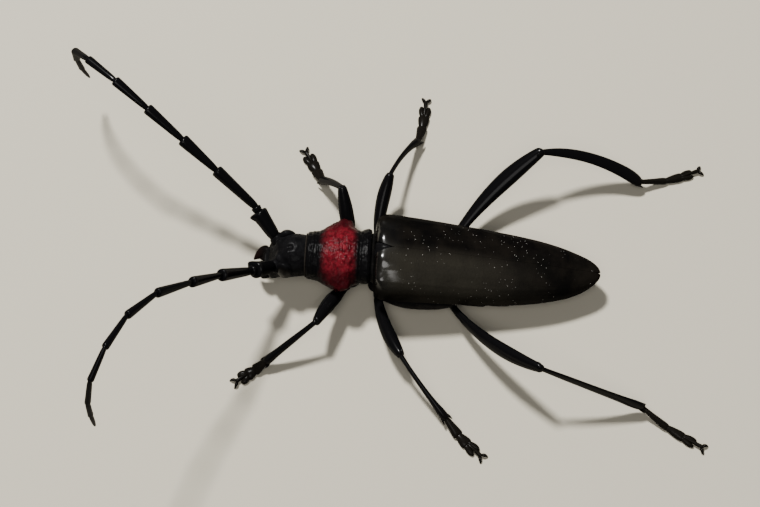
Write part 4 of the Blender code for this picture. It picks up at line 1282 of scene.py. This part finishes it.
def make_shin(leg, material):
    """A shin that starts between the knee lobes and ends in two spurs."""
    _, knee, ankle, _, _, bow = leg_places(leg)
    kind = leg.split("_")[0]
    along = (ankle - knee).normalized()
    shares = spread(0.0, 1.0, 18)
    widths = [smooth_value(share, SHIN_HALF_WIDTHS[kind]) for share in shares]
    depths = [smooth_value(share, SHIN_HALF_DEPTHS[kind]) for share in shares]
    rows = leg_rows(leg, [-0.012] + shares + [1.008], [0.14] + widths + [0.2], [0.16] + depths + [0.22])
    pieces = [limb("shin_" + leg, knee, ankle, rows, 24, bow)]
    across = along.cross(UP).normalized()
    for sign in SIDES.values():
        root = ankle - along * 0.4 + across * (sign * widths[-2] * 0.62) - UP * 0.05
        end = root + along * SPUR_LENGTH + across * (sign * 0.22) - UP * 0.06
        pieces.append(limb("spur", root, end, SPUR_PROFILE, 12, across * (sign * 0.05)))
    finish_piece(join("shin_" + leg, pieces), material, "black_limb", "leg_" + leg + "_tibia")


def make_foot(leg, material):
    """Four foot segments, the third split in two lobes, and a pair of claws, cut level with the floor."""
    _, knee, ankle, tip, _, _ = leg_places(leg)
    kind = leg.split("_")[0]
    flat = Vector((tip.x - ankle.x, tip.y - ankle.y, 0.0))
    length, ahead = flat.length, flat.normalized()
    across = ahead.cross(UP)
    ground = Vector((ankle.x, ankle.y, 0.0))
    first, second, neck = FOOT_HALF_WIDTHS[kind]
    joints = FOOT_JOINTS[kind]

    def at(share, height, aside=0.0):
        bend = FOOT_BENDS[leg] * bow_share(share)
        return ground + ahead * (length * share) + across * (aside + bend) + UP * (height - SOLE_DEPTH)

    def segment(start, end, table, width, sides=18, bow=ORIGIN):
        return limb("foot", start, end, [(t, width * half, high) for t, half, high in table], sides, bow)

    root = ankle - (ankle - knee).normalized() * 0.18
    lead = [(0.0, neck * 0.7, neck * 0.7), (0.06, neck * 0.95, neck * 0.9)]
    rows = lead + [(t, max(first * half, neck), high) for t, half, high in FIRST_ROWS]
    pieces = [
        limb("foot", root, at(joints[0] + 0.01, 0.33), rows, 18),
        segment(at(joints[0] - 0.05, 0.4), at(joints[1] + 0.01, 0.3), SECOND_ROWS, second),
        segment(at(joints[1] - 0.04, 0.42), at(joints[2] + 0.135, 0.42), STEM_ROWS, 1.0, 14, UP * 0.07),
    ]
    for sign in SIDES.values():
        inner, outer = (sign * second * share for share in LOBE_ASIDE)
        start, end = at(joints[1] - 0.04, 0.36, inner), at(joints[2] + 0.015, 0.22, outer)
        pieces.append(segment(start, end, LOBE_ROWS, second, 14, across * (sign * 0.06)))
        claw = [
            at(CLAW_SHARE, height, sign * aside) + ahead * forward
            for height, aside, forward in zip(CLAW_HEIGHTS, CLAW_ASIDE, CLAW_AHEAD)
        ]
        pieces.append(strand("foot", claw, CLAW_RADII, CLAW_RADII, 12))
    foot = join("foot_" + leg, pieces)
    trim_at_floor(foot)
    finish_piece(foot, material, "black_limb", "leg_" + leg + "_tarsus")


# Floor, light and camera

FLOOR_SIZE = 1600.0


def make_stage():
    floor = add_shape("floor", bpy.ops.mesh.primitive_plane_add, size=FLOOR_SIZE * MM)
    recipe = Recipe("studio_floor")
    floor.data.materials.append(recipe.surface(Base_Color=(0.5, 0.465, 0.375), Roughness=0.9))


def aim(thing, place, target):
    thing.location = Vector(place) * MM
    thing.rotation_euler = (Vector(target) - Vector(place)).to_track_quat("-Z", "Y").to_euler()


def add_soft_light(name, place, size, power, colour):
    """A round lamp of this size in millimetres and power in watts, aimed at the beetle."""
    light = bpy.data.lights.new(name, "AREA")
    light.shape = "DISK"
    light.size = size * MM
    light.energy = power
    light.color = colour
    lamp = bpy.data.objects.new(name, light)
    bpy.context.scene.collection.objects.link(lamp)
    aim(lamp, place, (0.0, 0.0, 3.0))


def make_light():
    world = bpy.data.worlds.new("studio")
    world.use_nodes = True
    background = world.node_tree.nodes["Background"].inputs
    background["Color"].default_value = (0.9, 0.94, 1.0, 1.0)
    background["Strength"].default_value = 0.07
    bpy.context.scene.world = world
    add_soft_light("key", (-120.0, 160.0, 400.0), 62.0, 3.9, (1.0, 0.985, 0.96))
    add_soft_light("fill", (-20.0, -200.0, 400.0), 240.0, 0.75, (1.0, 0.98, 0.95))


def make_camera():
    lens = bpy.data.cameras.new("camera")
    lens.sensor_width = SENSOR_WIDTH
    lens.lens = FOCAL_PIXELS * SENSOR_WIDTH / PHOTO_WIDTH
    lens.clip_start = 0.01
    camera = bpy.data.objects.new("camera", lens)
    bpy.context.scene.collection.objects.link(camera)
    level = math.cos(CAMERA_ELEVATION)
    back = Vector((
        math.sin(CAMERA_AZIMUTH) * level, -math.cos(CAMERA_AZIMUTH) * level, math.sin(CAMERA_ELEVATION)
    ))
    target = CAMERA_TARGET - STANCE_CENTRE
    aim(camera, target + back * CAMERA_DISTANCE, target)
    bpy.context.scene.camera = camera


# Assembly

def build():
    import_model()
    make_camera()
    make_light()
    make_stage()

    shell, limbs, feet, belly = black_shell_finish(), limb_finish(), foot_finish(), belly_finish()
    covers, eyes, mouth = wing_cover_finish(), eye_finish(), mouth_finish()
    for side in SIDES:
        make_wing_cover(side, covers)
        make_eye(side, eyes)
        make_jaw(side, mouth)
        make_feeler(side, limbs)
    make_scutellum(shell)
    make_chest(belly)
    make_abdomen(belly)
    make_neck_shield(neck_shield_finish())
    make_collar(collar_finish())
    make_head(shell)
    make_mouth(mouth)
    for leg in LEGS:
        make_hip(leg, shell)
        make_thigh(leg, limbs)
        make_shin(leg, limbs)
        make_foot(leg, feet)


build()
